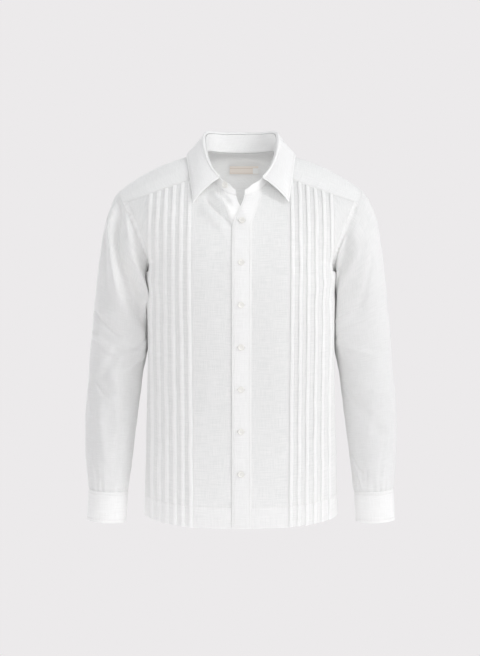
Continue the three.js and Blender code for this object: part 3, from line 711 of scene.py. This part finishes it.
lines = np.array([leaf_line(turn) for turn in np.linspace(COLLAR_END, -COLLAR_END, 180)])
leaf_grid = lines.transpose(1, 0, 2)[::-1]
leaf_places = cloth_places(leaf_grid)
LEAF_STITCH_IN = 5.0
off_edge = lengths(leaf_grid, 0)
off_any = np.minimum(off_edge, from_sides(leaf_grid))
out = -0.45 * ridge(off_any, LEAF_STITCH_IN, 1.2) - 0.5 * np.exp(-off_any / 0.8)
out += 0.6 * rumple(leaf_grid, 42, 53) * smooth(off_edge / 12)
leaf_face = raised_by(leaf_grid, out)
leaf = cloth_piece("collar_leaf", leaf_face, leaf_places, DOUBLE_CLOTH, 1.0)
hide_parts("collar_leaf")

# ---------------------------------------------------------------------------------------------------
# The sleeves: long tubes of single linen, set into the armholes and gathered to the cuffs. They keep
# the soft diagonal folds and elbow creases of arms held slightly forward.
# ---------------------------------------------------------------------------------------------------
outer_x = through((0, 238.5), (0.1, 259), (0.25, 273), (0.45, 289), (0.7, 301), (0.85, 300), (1, 291.5))
outer_z = through((0, -68), (0.1, -100), (0.25, -175), (0.45, -320), (0.7, -490), (0.85, -573), (1, -640))
inner_x = through(
    (0, 185.5), (0.12, 187), (0.25, 186), (0.45, 184), (0.6, 194), (0.8, 207), (0.9, 212), (1, 217),
)
inner_z = through((0, -226), (0.1, -240), (0.25, -275), (0.45, -352), (0.7, -500), (0.85, -580), (1, -644))
sleeve_depth = through((0, 62), (0.25, 61), (0.5, 55), (0.75, 48), (1, 37))
sleeve_middle = through((0, 0), (0.25, -2), (0.45, 6), (0.6, 3), (0.8, -14), (1, -34))

SLEEVE_ROUND, SLEEVE_COLUMNS, SLEEVE_ROWS, GATHERS, EASE_RIPPLES = 390, 132, 210, 17, 26
BESIDE, TORSO_DEPTH, ELBOW_ROW = 1.2, 118, 0.58

# Folds: turn (in half turns, 0 on top, 0.5 in front, 1 underneath) and row at each end, width, height.
LARGE_FOLDS = [
    (0.75, 0.2, 0.3, 0.6, 0.08, -3.5), (0.2, 0.5, 0.75, 0.66, 0.07, 3.0),
    (0.8, 0.62, 0.35, 0.8, 0.07, -3.0),
]
FINE_FOLDS = {
    -1: [
        (0.38, 0.02, 0.94, 0.34, 0.045, 14), (0.25, 0.02, 0.82, 0.47, 0.042, -17),
        (0.2, 0.06, 0.58, 0.42, 0.045, 14), (0.02, 0.08, 0.36, 0.42, 0.045, -11),
        (0.62, 0.24, 0.88, 0.44, 0.03, -3.5), (0.08, 0.41, 0.54, 0.475, 0.036, -5.0),
        (0.1, 0.47, 0.56, 0.54, 0.042, 5.0), (0.58, 0.48, 0.34, 0.62, 0.03, -5.0),
        (0.95, 0.42, 0.6, 0.52, 0.026, -3.6), (0.92, 0.5, 0.6, 0.58, 0.024, 3.2),
        (0.28, 0.61, 0.47, 0.66, 0.014, -3.0), (0.12, 0.6, 0.3, 0.74, 0.03, 3.0),
        (0.5, 0.56, 0.66, 0.78, 0.03, 3.4), (0.36, 0.66, 0.5, 0.9, 0.026, 2.6),
        (0.7, 0.7, 0.58, 0.96, 0.024, -1.8), (0.24, 0.76, 0.38, 0.98, 0.022, -1.6),
        (-0.4, 0.1, -0.75, 0.4, 0.05, 2.6), (-0.7, 0.3, -0.3, 0.55, 0.05, -2.4),
        (-0.3, 0.5, -0.7, 0.62, 0.03, 2.6), (-0.75, 0.56, -0.35, 0.7, 0.03, -2.2),
        (-0.45, 0.7, -0.6, 0.95, 0.03, 2.0),
    ],
    1: [
        (0.4, 0.03, 0.72, 0.3, 0.03, 3.6), (0.5, 0.03, 0.84, 0.27, 0.024, -4.0),
        (0.62, 0.03, 0.92, 0.24, 0.024, 3.6),
        (0.3, 0.2, 0.6, 0.42, 0.03, -2.4), (0.45, 0.36, 0.9, 0.4, 0.03, 2.2),
        (0.5, 0.42, 0.95, 0.47, 0.024, -1.8), (0.9, 0.46, 0.4, 0.54, 0.024, 1.8),
        (0.86, 0.6, 0.7, 0.68, 0.016, -2.0), (0.4, 0.6, 0.6, 0.8, 0.03, 1.6),
        (0.92, 0.84, 0.66, 0.93, 0.014, -2.4), (0.84, 0.86, 0.7, 1.0, 0.014, 2.2),
        (0.62, 0.88, 0.64, 1.0, 0.012, -1.8), (0.34, 0.74, 0.46, 0.98, 0.024, -1.4),
        (-0.42, 0.12, -0.8, 0.42, 0.05, 2.6), (-0.65, 0.32, -0.28, 0.54, 0.05, -2.4),
        (-0.34, 0.52, -0.72, 0.64, 0.03, 2.6), (-0.7, 0.6, -0.38, 0.74, 0.03, -2.2),
        (-0.5, 0.74, -0.62, 0.96, 0.03, 2.0),
    ],
}


def fold_height(turn, row, folds):
    """How far folds stand out from the sleeve at a turn and a row."""
    total = np.zeros(np.broadcast(turn, row).shape)
    for turn_a, row_a, turn_b, row_b, width, height in folds:
        along = np.clip((row - row_a) / (row_b - row_a), 0, 1)
        fade = smooth(np.minimum(along, 1 - along) * 4)
        if row_b >= 1:
            fade = smooth(along * 3)
        off = turn - math.pi * mix(turn_a, turn_b, along)
        off = (off - 2 * math.pi * np.round(off / (2 * math.pi))) / (2 * math.pi)
        total += height * fade * np.exp(-((off / width) ** 2))
    return total


def sleeve_point(turn, row, folds=()):
    """A point of the left sleeve; the turn runs from the top (0) by the front to the underarm (pi).

    Down to the elbow the sleeve lies flat against the torso's side, just clear of it.
    """
    turn, row = np.broadcast_arrays(np.asarray(turn, float), np.asarray(row, float))
    outer = np.stack([outer_x(row), 0 * row, outer_z(row)], -1)
    inner = np.stack([inner_x(row), 0 * row, inner_z(row)], -1)
    half = (outer - inner) / 2
    sine, cosine = np.sin(turn), np.cos(turn)
    p = (outer + inner) / 2 + half * cosine[..., None]
    p[..., 1] = sleeve_middle(row) - sleeve_depth(row) * sine
    level = (1 - np.minimum(np.abs(p[..., 1]) / TORSO_DEPTH, 1) ** SQUARE) ** (1 / SQUARE)
    gap = p[..., 0] - half_width(p[..., 2]) * level - BESIDE
    p[..., 0] += gap * (smooth(gap / 60) - 1) * smooth((ELBOW_ROW - row) / 0.14)
    wrapped = np.arctan2(sine, cosine)
    joined = mix(p, armhole(wrapped) + [-1.2, 0, 0.4], 1 - smooth(row / 0.16)[..., None])
    swell = fold_height(wrapped, row, LARGE_FOLDS) * smooth((row - 0.05) / 0.1)
    swell = swell + fold_height(wrapped, row, folds) * smooth((row - 0.03) / 0.05)
    out = half / np.linalg.norm(half, axis=-1, keepdims=True) * cosine[..., None]
    out[..., 1] = -sine
    return joined + out * swell[..., None]


def sleeve(side):
    """One sleeve, with its own folds, gathered at the cuff and eased into the armhole."""
    name = "sleeve_left" if side > 0 else "sleeve_right"
    turns = -2 * math.pi * np.arange(SLEEVE_COLUMNS) / SLEEVE_COLUMNS
    rows = np.linspace(1, 0, SLEEVE_ROWS)
    grid = sleeve_point(turns[None], rows[:, None], FINE_FOLDS[side])
    flat = sleeve_point(turns[None], rows[:, None])
    around = np.linspace(0, SLEEVE_ROUND, SLEEVE_COLUMNS + 1)
    up = lengths(flat, 0).mean(axis=1)
    cloth_at = np.stack(np.broadcast_arrays(around[None], up[:, None]), -1)
    to_cuff = up[:, None] * np.ones(SLEEVE_COLUMNS)
    gather = np.exp(-to_cuff / 22) * (1.1 * np.sin(turns * GATHERS + 1.3 * np.sin(turns * 5)))
    to_arm = up[-1] - to_cuff
    ease_in = np.exp(-to_arm / 9) * 0.5 * np.sin(turns * EASE_RIPPLES + 2 * np.sin(turns * 3))
    out = gather + ease_in + 1.5 * rumple(grid, 52, 61 + side) + 0.5 * rumple(grid, 17, 64 + side)
    out = out - 1.0 * np.exp(-to_arm / 2.0)
    grid = grid + normals_of(grid, True) * out[..., None]
    tucked_in = smooth(1 - to_cuff / 4)[..., None]
    grid = mix(grid, grid.mean(axis=1, keepdims=True), 0.07 * tucked_in) - [0, 0, 5] * tucked_in
    if side < 0:
        grid = grid[:, ::-1] * [-1, 1, 1]
    # Painted light: the sleeve is painted a little lighter at the armhole, rising to the full lighter linen
    # tone halfway down and on to the cuff.
    sleeve_painted_light = mix(0.2, 1.0, smooth(rows[:, None] * 2))
    made = cloth_piece(name, grid, cloth_at, CLOTH, sleeve_painted_light, wrap=True)
    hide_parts(name)


sleeve(1)
sleeve(-1)

# ---------------------------------------------------------------------------------------------------
# The cuffs: a folded, stiffened band round each wrist, lapped behind, with the bound slit above it.
# ---------------------------------------------------------------------------------------------------
CUFF_HALF_WIDTH, CUFF_DEPTH, CUFF_Y, CUFF_LAP, CUFF_LIFT = 37.5, 36, -35, 22, 0.35
CUFF_TOP, CUFF_BOTTOM = (254.5, CUFF_Y + 0.5, -643.2), (257.5, CUFF_Y - 1, -702)
CUFF_START, CUFF_STITCH_IN, CUFF_TILT, LAPPED = -0.62 * math.pi, 6, 0.055, 1.8
SLIT_HALF_TURN, SLIT_TOP_ROW, SLIT_END_ROW = 0.13, 0.8, 0.985
CUFF_TURN = 2 * math.pi + CUFF_LAP / CUFF_HALF_WIDTH
EDGES = ("top", "bottom", "left", "right")


def cuff_point(turn, v, out):
    """A point of the left cuff at a turn, from its top (0) to its bottom (1), moved out."""
    turn, v, out = np.broadcast_arrays(turn, v, out)
    x = (CUFF_HALF_WIDTH + out) * np.cos(turn)
    ring = np.stack([x, -(CUFF_DEPTH + out) * np.sin(turn), CUFF_TILT * x], -1)
    return mix(np.array(CUFF_TOP), np.array(CUFF_BOTTOM), v[..., None]) + ring


def cuff(side):
    """One cuff, its lapped end outside its other end, and the strip that binds the slit above it."""
    word = "left" if side > 0 else "right"
    share = np.linspace(0, 1, 170)[None]
    v = np.linspace(1, 0, 40)[:, None]
    lift = (LAPPED + 2 * CUFF_LIFT) * smooth((share - 0.7) / 0.22)
    grid = cuff_point(CUFF_START - CUFF_TURN * share, v, lift)
    off = np.minimum(lengths(grid, 0), lengths(grid[::-1], 0)[::-1])
    off = np.minimum(off, from_sides(grid))
    out = -0.4 * ridge(off, CUFF_STITCH_IN, 1.1) - 0.5 * np.exp(-off / 0.8)
    out += 0.4 * rumple(grid, 34, 71 + side)
    places = cloth_places(grid)
    grid = raised_by(grid, out)
    if side < 0:
        grid, places = turned_over(grid), turned_over(places, True)
    topstitched["cuff_" + word] = [(grid, edge, CUFF_STITCH_IN) for edge in EDGES]
    made = cloth_piece("cuff_" + word, grid, places, DOUBLE_CLOTH, 1.0)
    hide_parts("cuff_" + word)

    rows = np.linspace(SLIT_END_ROW, SLIT_TOP_ROW, 60)[:, None]
    across = np.linspace(CUFF_START + SLIT_HALF_TURN, CUFF_START - SLIT_HALF_TURN, 8)[None]
    grid = sleeve_point(across, rows)
    places = cloth_places(grid)
    grid = grid + normals_of(grid) * (CUFF_LIFT + LAPPED)
    if side < 0:
        grid, places = turned_over(grid), turned_over(places, True)
    made = cloth_piece("sleeve_placket_" + word, grid, places, DOUBLE_CLOTH, 1.0)
    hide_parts("sleeve_placket_" + word)


cuff(1)
cuff(-1)

# ---------------------------------------------------------------------------------------------------
# The buttons: four-hole shirt buttons turned from pearly polyester resin, with a raised rim, sewn on
# with white thread. Seven on the placket, one on the collar stand and one behind each cuff.
# ---------------------------------------------------------------------------------------------------
BUTTON_RADIUS, BUTTON_THICK, RIM, DISH, HOLE_RADIUS, HOLE_OFF = 5.8, 2.4, 1.2, 0.6, 0.75, 1.3


def pearl_resin():
    """Polyester resin with mica, cast and polished: a clean gloss over cloudy, milky white."""
    made, tree, shader = surface(
        "pearl_polyester_resin", Roughness=0.28, IOR=1.56, Coat_Weight=0.3, Coat_Roughness=0.1
    )
    place = node(tree, "ShaderNodeTexCoord").outputs["Object"]
    cloud = node(tree, "ShaderNodeTexNoise", None, Vector=place, Scale=1 / (4 * MM), Detail=3.0)
    colour = blend(tree, cloud.outputs["Fac"], linear("#e3e1dc"), linear("#f6f5f1"))
    tree.links.new(colour, shader.inputs["Base Color"])
    return made


def spun_thread():
    """Spun polyester sewing thread: matt, white, with a fine twist along it."""
    made, tree, shader = surface("spun_polyester_thread", Roughness=0.75, IOR=1.55)
    place = node(tree, "ShaderNodeTexCoord").outputs["Object"]
    twist = node(tree, "ShaderNodeTexNoise", None, Vector=place, Scale=1 / (0.8 * MM), Detail=1.0)
    colour = blend(tree, twist.outputs["Fac"], linear("#dedddb"), linear("#f2f2f0"))
    tree.links.new(colour, shader.inputs["Base Color"])
    return made


PEARL, THREAD = pearl_resin(), spun_thread()


def rod(sides, radius, length, place, **turned):
    """A cylinder about a place, its sizes in millimetres."""
    bpy.ops.mesh.primitive_cylinder_add(
        vertices=sides, radius=radius * MM, depth=length * MM, location=[c * MM for c in place], **turned
    )
    return bpy.context.object


def joined(pieces):
    """Joins pieces into the last of them."""
    bpy.ops.object.select_all(action="DESELECT")
    for piece in pieces:
        piece.select_set(True)
    bpy.context.view_layer.objects.active = pieces[-1]
    bpy.ops.object.join()
    return pieces[-1]


def one_button():
    """A button lying face up at the origin, modelled once and copied."""
    made = rod(36, BUTTON_RADIUS, BUTTON_THICK, (0, 0, BUTTON_THICK / 2))
    bpy.ops.object.transform_apply(location=True)
    bpy.ops.object.mode_set(mode="EDIT")
    bpy.ops.mesh.select_all(action="DESELECT")
    shape = bmesh.from_edit_mesh(made.data)
    for face in shape.faces:
        face.select_set(face.normal.z > 0.9)
    bmesh.update_edit_mesh(made.data)
    bpy.ops.mesh.inset(thickness=RIM * MM)
    bpy.ops.mesh.inset(thickness=0.5 * MM, depth=-DISH * MM)
    bpy.ops.mesh.inset(thickness=1.0 * MM, depth=-0.15 * MM)
    bpy.ops.object.mode_set(mode="OBJECT")
    edge = made.modifiers.new("turned_edges", "BEVEL")
    edge.width, edge.segments, edge.angle_limit = 0.45 * MM, 3, math.radians(40)
    bpy.ops.object.modifier_apply(modifier=edge.name)
    drill = joined([
        rod(14, HOLE_RADIUS, 8, (x * HOLE_OFF, y * HOLE_OFF, 0))
        for x, y in ((1, 1), (-1, 1), (1, -1), (-1, -1))
    ])
    bpy.ops.object.transform_apply(location=True)
    holes = made.modifiers.new("holes", "BOOLEAN")
    holes.object, holes.operation, holes.solver = drill, "DIFFERENCE", "EXACT"
    bpy.context.view_layer.objects.active = made
    bpy.ops.object.modifier_apply(modifier=holes.name)
    bpy.data.objects.remove(drill)
    made.data.materials.clear()
    made.data.materials.append(PEARL)
    passes = [
        rod(10, 0.42, 2.6 * HOLE_OFF, (0, y * HOLE_OFF, BUTTON_THICK - DISH + 0.1),
            rotation=(0, math.pi / 2, 0))
        for y in (-1, 1)
    ]
    for thread in passes:
        thread.data.materials.append(THREAD)
    joined([*passes, made])
    bpy.ops.object.shade_smooth_by_angle(angle=math.radians(35))
    made.select_set(False)
    return made


def sew_button(master, name, place, outward, turned=0.0):
    """A copy of the button, its back on the place and its face outward."""
    made = placed("sewn_" + name, master.data.copy())
    outward = Vector(outward).normalized()
    turn = outward.to_track_quat("Z", "Y").to_matrix().to_4x4()
    made.data.transform(Matrix.Translation(Vector(place) * MM) @ turn @ Matrix.Rotation(turned, 4, "Z"))
    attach(made, "root")
    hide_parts(name)


def on_front(x, z):
    """The place on the torso's front at x and z."""
    return np.array([x, float(torso_y(np.array(x), np.array(z), -1)), z])


def front_outward(x, z, reach=4):
    """The outward direction of the front, felt over a button's width."""
    across = on_front(x + reach, z) - on_front(x - reach, z)
    normal = np.cross(across, on_front(x, z + reach) - on_front(x, z - reach))
    return normal / np.linalg.norm(normal)


def button_x(z):
    """Where the middle of the placket is, at a button's height."""
    return OPEN_LEAD * 0.5 * float(opened(np.array(float(z))))


button = one_button()
SEWN_LIFT, COLLAR_BUTTON_X, COLLAR_BUTTON_UP = 0.35, 29, 13
for i, z in enumerate(BUTTON_Z):
    outward = front_outward(button_x(z), z)
    face = on_front(button_x(z), z) + outward * (PLACKET_LIFT + SEWN_LIFT)
    sew_button(button, f"button_{i + 1}", face, outward, 0.3 * i)

collar_place = collar_point(np.array(-float(neck_turn_at(COLLAR_BUTTON_X))), COLLAR_BUTTON_UP)
collar_out = np.array([-0.36, -0.93, 0])
collar_place += [-0.4, -1.2, 0]
sew_button(button, "collar_button", collar_place + collar_out * SEWN_LIFT, collar_out, 0.5)

BUTTON_TURN = CUFF_START - 0.5 * CUFF_LAP / CUFF_HALF_WIDTH
cuff_face = cuff_point(np.array(BUTTON_TURN), np.array(0.5), np.array(LAPPED + 2 * CUFF_LIFT + 0.3))
cuff_out = np.array([math.cos(BUTTON_TURN), -math.sin(BUTTON_TURN), 0])
for word, flip in (("left", [1, 1, 1]), ("right", [-1, 1, 1])):
    sew_button(button, "cuff_button_" + word, (cuff_face + cuff_out * SEWN_LIFT) * flip, cuff_out * flip)
bpy.data.objects.remove(button)

# ---------------------------------------------------------------------------------------------------
# The sewing: rows of topstitching inside the edges, each stitch a short raised thread, and the
# buttonholes, worked across the placket as narrow beads of close stitches.
# ---------------------------------------------------------------------------------------------------
STITCH, STITCH_STEP, THREAD_RADIUS, THREAD_SIDES = 2.4, 3.1, 0.27, 6
HOLE_HALF_LENGTH, HOLE_HALF_WIDTH, BEAD_RADIUS = 7.2, 1.0, 0.6


def threads(name, centres, ups, radii, closed=False):
    """Round threads through rows of centres, all joined as one piece."""
    along = np.roll(centres, -1, 1) - np.roll(centres, 1, 1) if closed else np.gradient(centres, axis=1)
    along /= np.linalg.norm(along, axis=-1, keepdims=True)
    across = np.cross(along, ups)
    across /= np.linalg.norm(across, axis=-1, keepdims=True)
    ups = np.cross(across, along)
    turn = 2 * math.pi * np.arange(THREAD_SIDES)[:, None] / THREAD_SIDES
    ring = across[:, :, None] * np.cos(turn) + ups[:, :, None] * np.sin(turn)
    points = centres[:, :, None] + ring * np.broadcast_to(radii, centres.shape[:2])[..., None, None]
    index = np.arange(points[..., 0].size).reshape(points.shape[:3])
    first, then = (index, np.roll(index, -1, 1)) if closed else (index[:, :-1], index[:, 1:])
    quads = np.stack([first, then, np.roll(then, -1, 2), np.roll(first, -1, 2)], -1)
    caps = [] if closed else index[:, 0].tolist() + index[:, -1, ::-1].tolist()
    mesh = bpy.data.meshes.new(name)
    mesh.from_pydata((points.reshape(-1, 3) * MM).tolist(), [], quads.reshape(-1, 4).tolist() + caps)
    mesh.materials.append(THREAD)
    mesh.polygons.foreach_set("use_smooth", np.full(len(mesh.polygons), True))
    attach(placed(name, mesh), "root")


def stitch_rows(name, *rows):
    """Stitches along rows; each row is a cloth's face, the edge it follows and how far inside it."""
    starts, middles, ends = [], [], []
    for face, edge, inset in rows:
        both = np.concatenate([face, normals_of(face)], -1)
        if edge in ("bottom", "top"):
            both = both.transpose(1, 0, 2)
        if edge in ("right", "top"):
            both = both[:, ::-1]
        runs = lengths(both[..., :3], 1)
        line = np.array([
            [np.interp(inset, run, row[:, k]) for k in range(6)] for run, row in zip(runs, both)
        ])
        run = lengths(line[None, :, :3], 1)[0]
        places = np.arange(STITCH_STEP, run[-1] - STITCH_STEP, STITCH_STEP)
        for share, kept in ((0, starts), (0.5, middles), (1, ends)):
            at = places + share * STITCH
            kept.append(np.stack([np.interp(at, run, line[:, k]) for k in range(6)], -1))
    start, middle, end = (np.concatenate(kept) for kept in (starts, middles, ends))
    ups = middle[:, 3:]
    sunk, raised = -0.2 * ups, 0.12 * ups
    centres = np.stack([
        start[:, :3] + sunk, mix(start, middle, 0.4)[:, :3] + raised,
        mix(end, middle, 0.4)[:, :3] + raised, end[:, :3] + sunk,
    ], 1)
    radii = THREAD_RADIUS * np.array([0.6, 1, 1, 0.6])
    threads(name, centres, np.repeat(ups[:, None], 4, 1), radii)


def buttonholes():
    """A closed bead of thread round each slit, level under the middle of its button."""
    turn = np.linspace(0, 2 * math.pi, 40, endpoint=False)
    straight = (HOLE_HALF_LENGTH - HOLE_HALF_WIDTH) * np.sign(np.cos(turn)) * (np.abs(np.cos(turn)) > 0.05)
    loop_x = straight + HOLE_HALF_WIDTH * np.cos(turn)
    loop_z = HOLE_HALF_WIDTH * np.sin(turn)
    centres, ups = [], []
    for z in BUTTON_Z:
        x = button_x(z) + loop_x
        outward = front_outward(x.mean(), z)
        place = np.stack([x, torso_y(x, z + loop_z, -1), z + loop_z], -1)
        centres.append(place + outward * (PLACKET_LIFT + 0.1))
        ups.append(np.broadcast_to(outward, place.shape))
    threads("buttonhole_beads", np.array(centres), np.array(ups), BEAD_RADIUS, closed=True)


stitch_rows("placket_stitches", *[(placket_face, edge, STITCH_IN) for edge in ("left", "right")])
stitch_rows("leaf_stitches", *[(leaf_face, edge, LEAF_STITCH_IN) for edge in ("bottom", "left", "right")])
stitch_rows(
    "yoke_stitches", (yoke_face, "bottom", YOKE_STITCH_IN), (yoke_face, "left", YOKE_FRONT_STITCH_IN),
    (yoke_face, "right", YOKE_FRONT_STITCH_IN),
)
stitch_rows("back_stitches", (back_face, "bottom", HEM_STITCH_IN))
for word, faces in topstitched.items():
    stitch_rows(word + "_stitches", *faces)
buttonholes()

# ---------------------------------------------------------------------------------------------------
# The neck label: a woven satin label, blank but for a plain border, sewn inside the back of the yoke,
# with a small white tab tucked under its end.
# ---------------------------------------------------------------------------------------------------
LABEL_LEFT, LABEL_RIGHT, LABEL_TOP, LABEL_BOTTOM, TAB_WIDTH = -23, 35, -7, -22, 11
LABEL_MIDDLE, BORDER_OFF, BORDER_HALF_WIDTH, LABEL_OFF, TAB_OFF = 7.5, 5.0, 0.6, 1.65, 2.8


def woven_satin(name, ground, line):
    """Woven polyester satin: a soft sheen along close, level threads, with a plain woven border."""
    made, tree, shader = surface(name, Roughness=0.5, IOR=1.55)
    uv = node(tree, "ShaderNodeUVMap").outputs["UV"]
    scale = [1 / (20 * MM), 1 / (0.9 * MM), 1]
    place = node(tree, "ShaderNodeMapping", None, Vector=uv, Scale=scale)
    ribs = node(tree, "ShaderNodeTexNoise", {"noise_dimensions": "2D"}, Vector=place.outputs[0], Scale=1.0)
    height = node(tree, "ShaderNodeSeparateXYZ", None, Vector=uv).outputs["Y"]
    middle = node(tree, "ShaderNodeMath", {"operation": "SUBTRACT"}, _0=height,
                  _1=LABEL_MIDDLE * MM)
    away = node(tree, "ShaderNodeMath", {"operation": "ABSOLUTE"}, _0=middle.outputs[0])
    border = node(tree, "ShaderNodeMath", {"operation": "COMPARE"}, _0=away.outputs[0],
                  _1=BORDER_OFF * MM, _2=BORDER_HALF_WIDTH * MM)
    colour = blend(tree, border.outputs[0], linear(ground), linear(line))
    tree.links.new(colour, shader.inputs["Base Color"])
    bump = node(tree, "ShaderNodeBump", None, Height=ribs.outputs["Fac"], Strength=0.3, Distance=0.0003)
    tree.links.new(bump.outputs[0], shader.inputs["Normal"])
    return made


def label_piece(name, left, right, top, bottom, off, material):
    """A flat piece that follows the inside of the yoke's back, a little way off it."""
    x = np.linspace(left, right, 40)[None]
    z = np.linspace(bottom, top, 12)[:, None]
    t = (NECK_TOP - z) / (NECK_TOP - YOKE_BACK_Z)
    y = mix(NECK_BACK, float(back_depth(YOKE_BACK_Z)), t) + 8.8 * t * (1 - t)
    y = y * (1 - 0.11 * (x / 60) ** 2) - off + 0.25 * np.sin(x / 9)
    grid = np.stack(np.broadcast_arrays(x, y, z), -1)
    made = cloth_piece(name, grid, cloth_places(grid), 0.6, 1.0, material=material)
    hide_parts(name)


BEIGE_SATIN = woven_satin("woven_satin_beige", "#f1e8df", "#dccfc2")
WHITE_SATIN = woven_satin("woven_satin_white", "#f4f4f2", "#f4f4f2")
label_piece("neck_label", LABEL_LEFT, LABEL_RIGHT, LABEL_TOP, LABEL_BOTTOM,
            LABEL_OFF, BEIGE_SATIN)
label_piece("size_tab", LABEL_RIGHT - TAB_WIDTH, LABEL_RIGHT, LABEL_TOP - 4, LABEL_BOTTOM + 0.5,
            TAB_OFF, WHITE_SATIN)

# ---------------------------------------------------------------------------------------------------
# The light, the floor and the camera: an evenly lit pale studio, with the main soft light high on
# the wearer's left.
# ---------------------------------------------------------------------------------------------------
BACKDROP, STUDIO_GLOW, FLOOR_SIZE, FLOOR_HEIGHT = "#eceaeb", "#f6f7f9", 60, -1.45


def paint(name, colour):
    """Matt white studio paint, lit so evenly that it reads as one flat tone."""
    made = bpy.data.materials.new(name)
    made.use_nodes = True
    tree = made.node_tree
    tree.nodes.clear()
    glow = node(tree, "ShaderNodeEmission", None, Color=linear(colour), Strength=1.0)
    out = node(tree, "ShaderNodeOutputMaterial")
    tree.links.new(glow.outputs[0], out.inputs["Surface"])
    return made


bpy.ops.mesh.primitive_plane_add(size=FLOOR_SIZE, location=(0, 0, FLOOR_HEIGHT))
floor = bpy.context.object
floor.name = "studio_floor"
floor.data.materials.append(paint("studio_floor_paint", BACKDROP))

world = bpy.data.worlds.new("studio")
bpy.context.scene.world = world
world.use_nodes = True
tree = world.node_tree
tree.nodes.clear()
seen = node(tree, "ShaderNodeBackground", None, Color=linear(BACKDROP), Strength=1.0)
lit = node(tree, "ShaderNodeBackground", None, Color=linear(STUDIO_GLOW), Strength=0.62)
ray = node(tree, "ShaderNodeLightPath")
both = node(tree, "ShaderNodeMixShader", None, _0=ray.outputs["Is Camera Ray"])
tree.links.new(lit.outputs[0], both.inputs[1])
tree.links.new(seen.outputs[0], both.inputs[2])
out = node(tree, "ShaderNodeOutputWorld")
tree.links.new(both.outputs[0], out.inputs["Surface"])


def softbox(name, place, aim, size, power):
    """A round soft light, turned to face its aim."""
    lamp = bpy.data.lights.new(name, "AREA")
    lamp.shape, lamp.size, lamp.energy = "DISK", size, power
    made = placed(name, lamp)
    made.location = place
    made.rotation_euler = (Vector(aim) - Vector(place)).to_track_quat("-Z", "Y").to_euler()


softbox("key", (2.6, -1.6, 1.4), (0, 0, -0.3), 1.2, 36)
softbox("front_fill", (0.5, -3.4, -0.1), (0, 0, -0.35), 1.6, 26)
softbox("side_fill", (-2.4, -1.8, -0.9), (-0.2, 0, -0.5), 0.8, 3)
softbox("back_light", (-2.0, 2.0, 1.0), (0, 0, -0.3), 0.8, 22)

# A small hidden lamp inside the neck, as is used to show the label of a hollow garment.
inside = bpy.data.lights.new("neck_lamp", "POINT")
inside.energy, inside.shadow_soft_size = 0.12, 0.03
neck_lamp = placed("neck_lamp", inside)
neck_lamp.location, neck_lamp.visible_camera = (0, -0.01, -0.14), False

CAMERA_PLACE, LENS = (-0.002, -2.2, -0.3335), 61.9
camera = placed("camera", bpy.data.cameras.new("camera"))
camera.location = CAMERA_PLACE
camera.rotation_euler = (math.pi / 2, 0, 0)
camera.data.sensor_width, camera.data.lens = 36, LENS
bpy.context.scene.camera = camera
bpy.context.scene.view_settings.view_transform = "Standard"
bpy.context.scene.view_settings.look = "None"
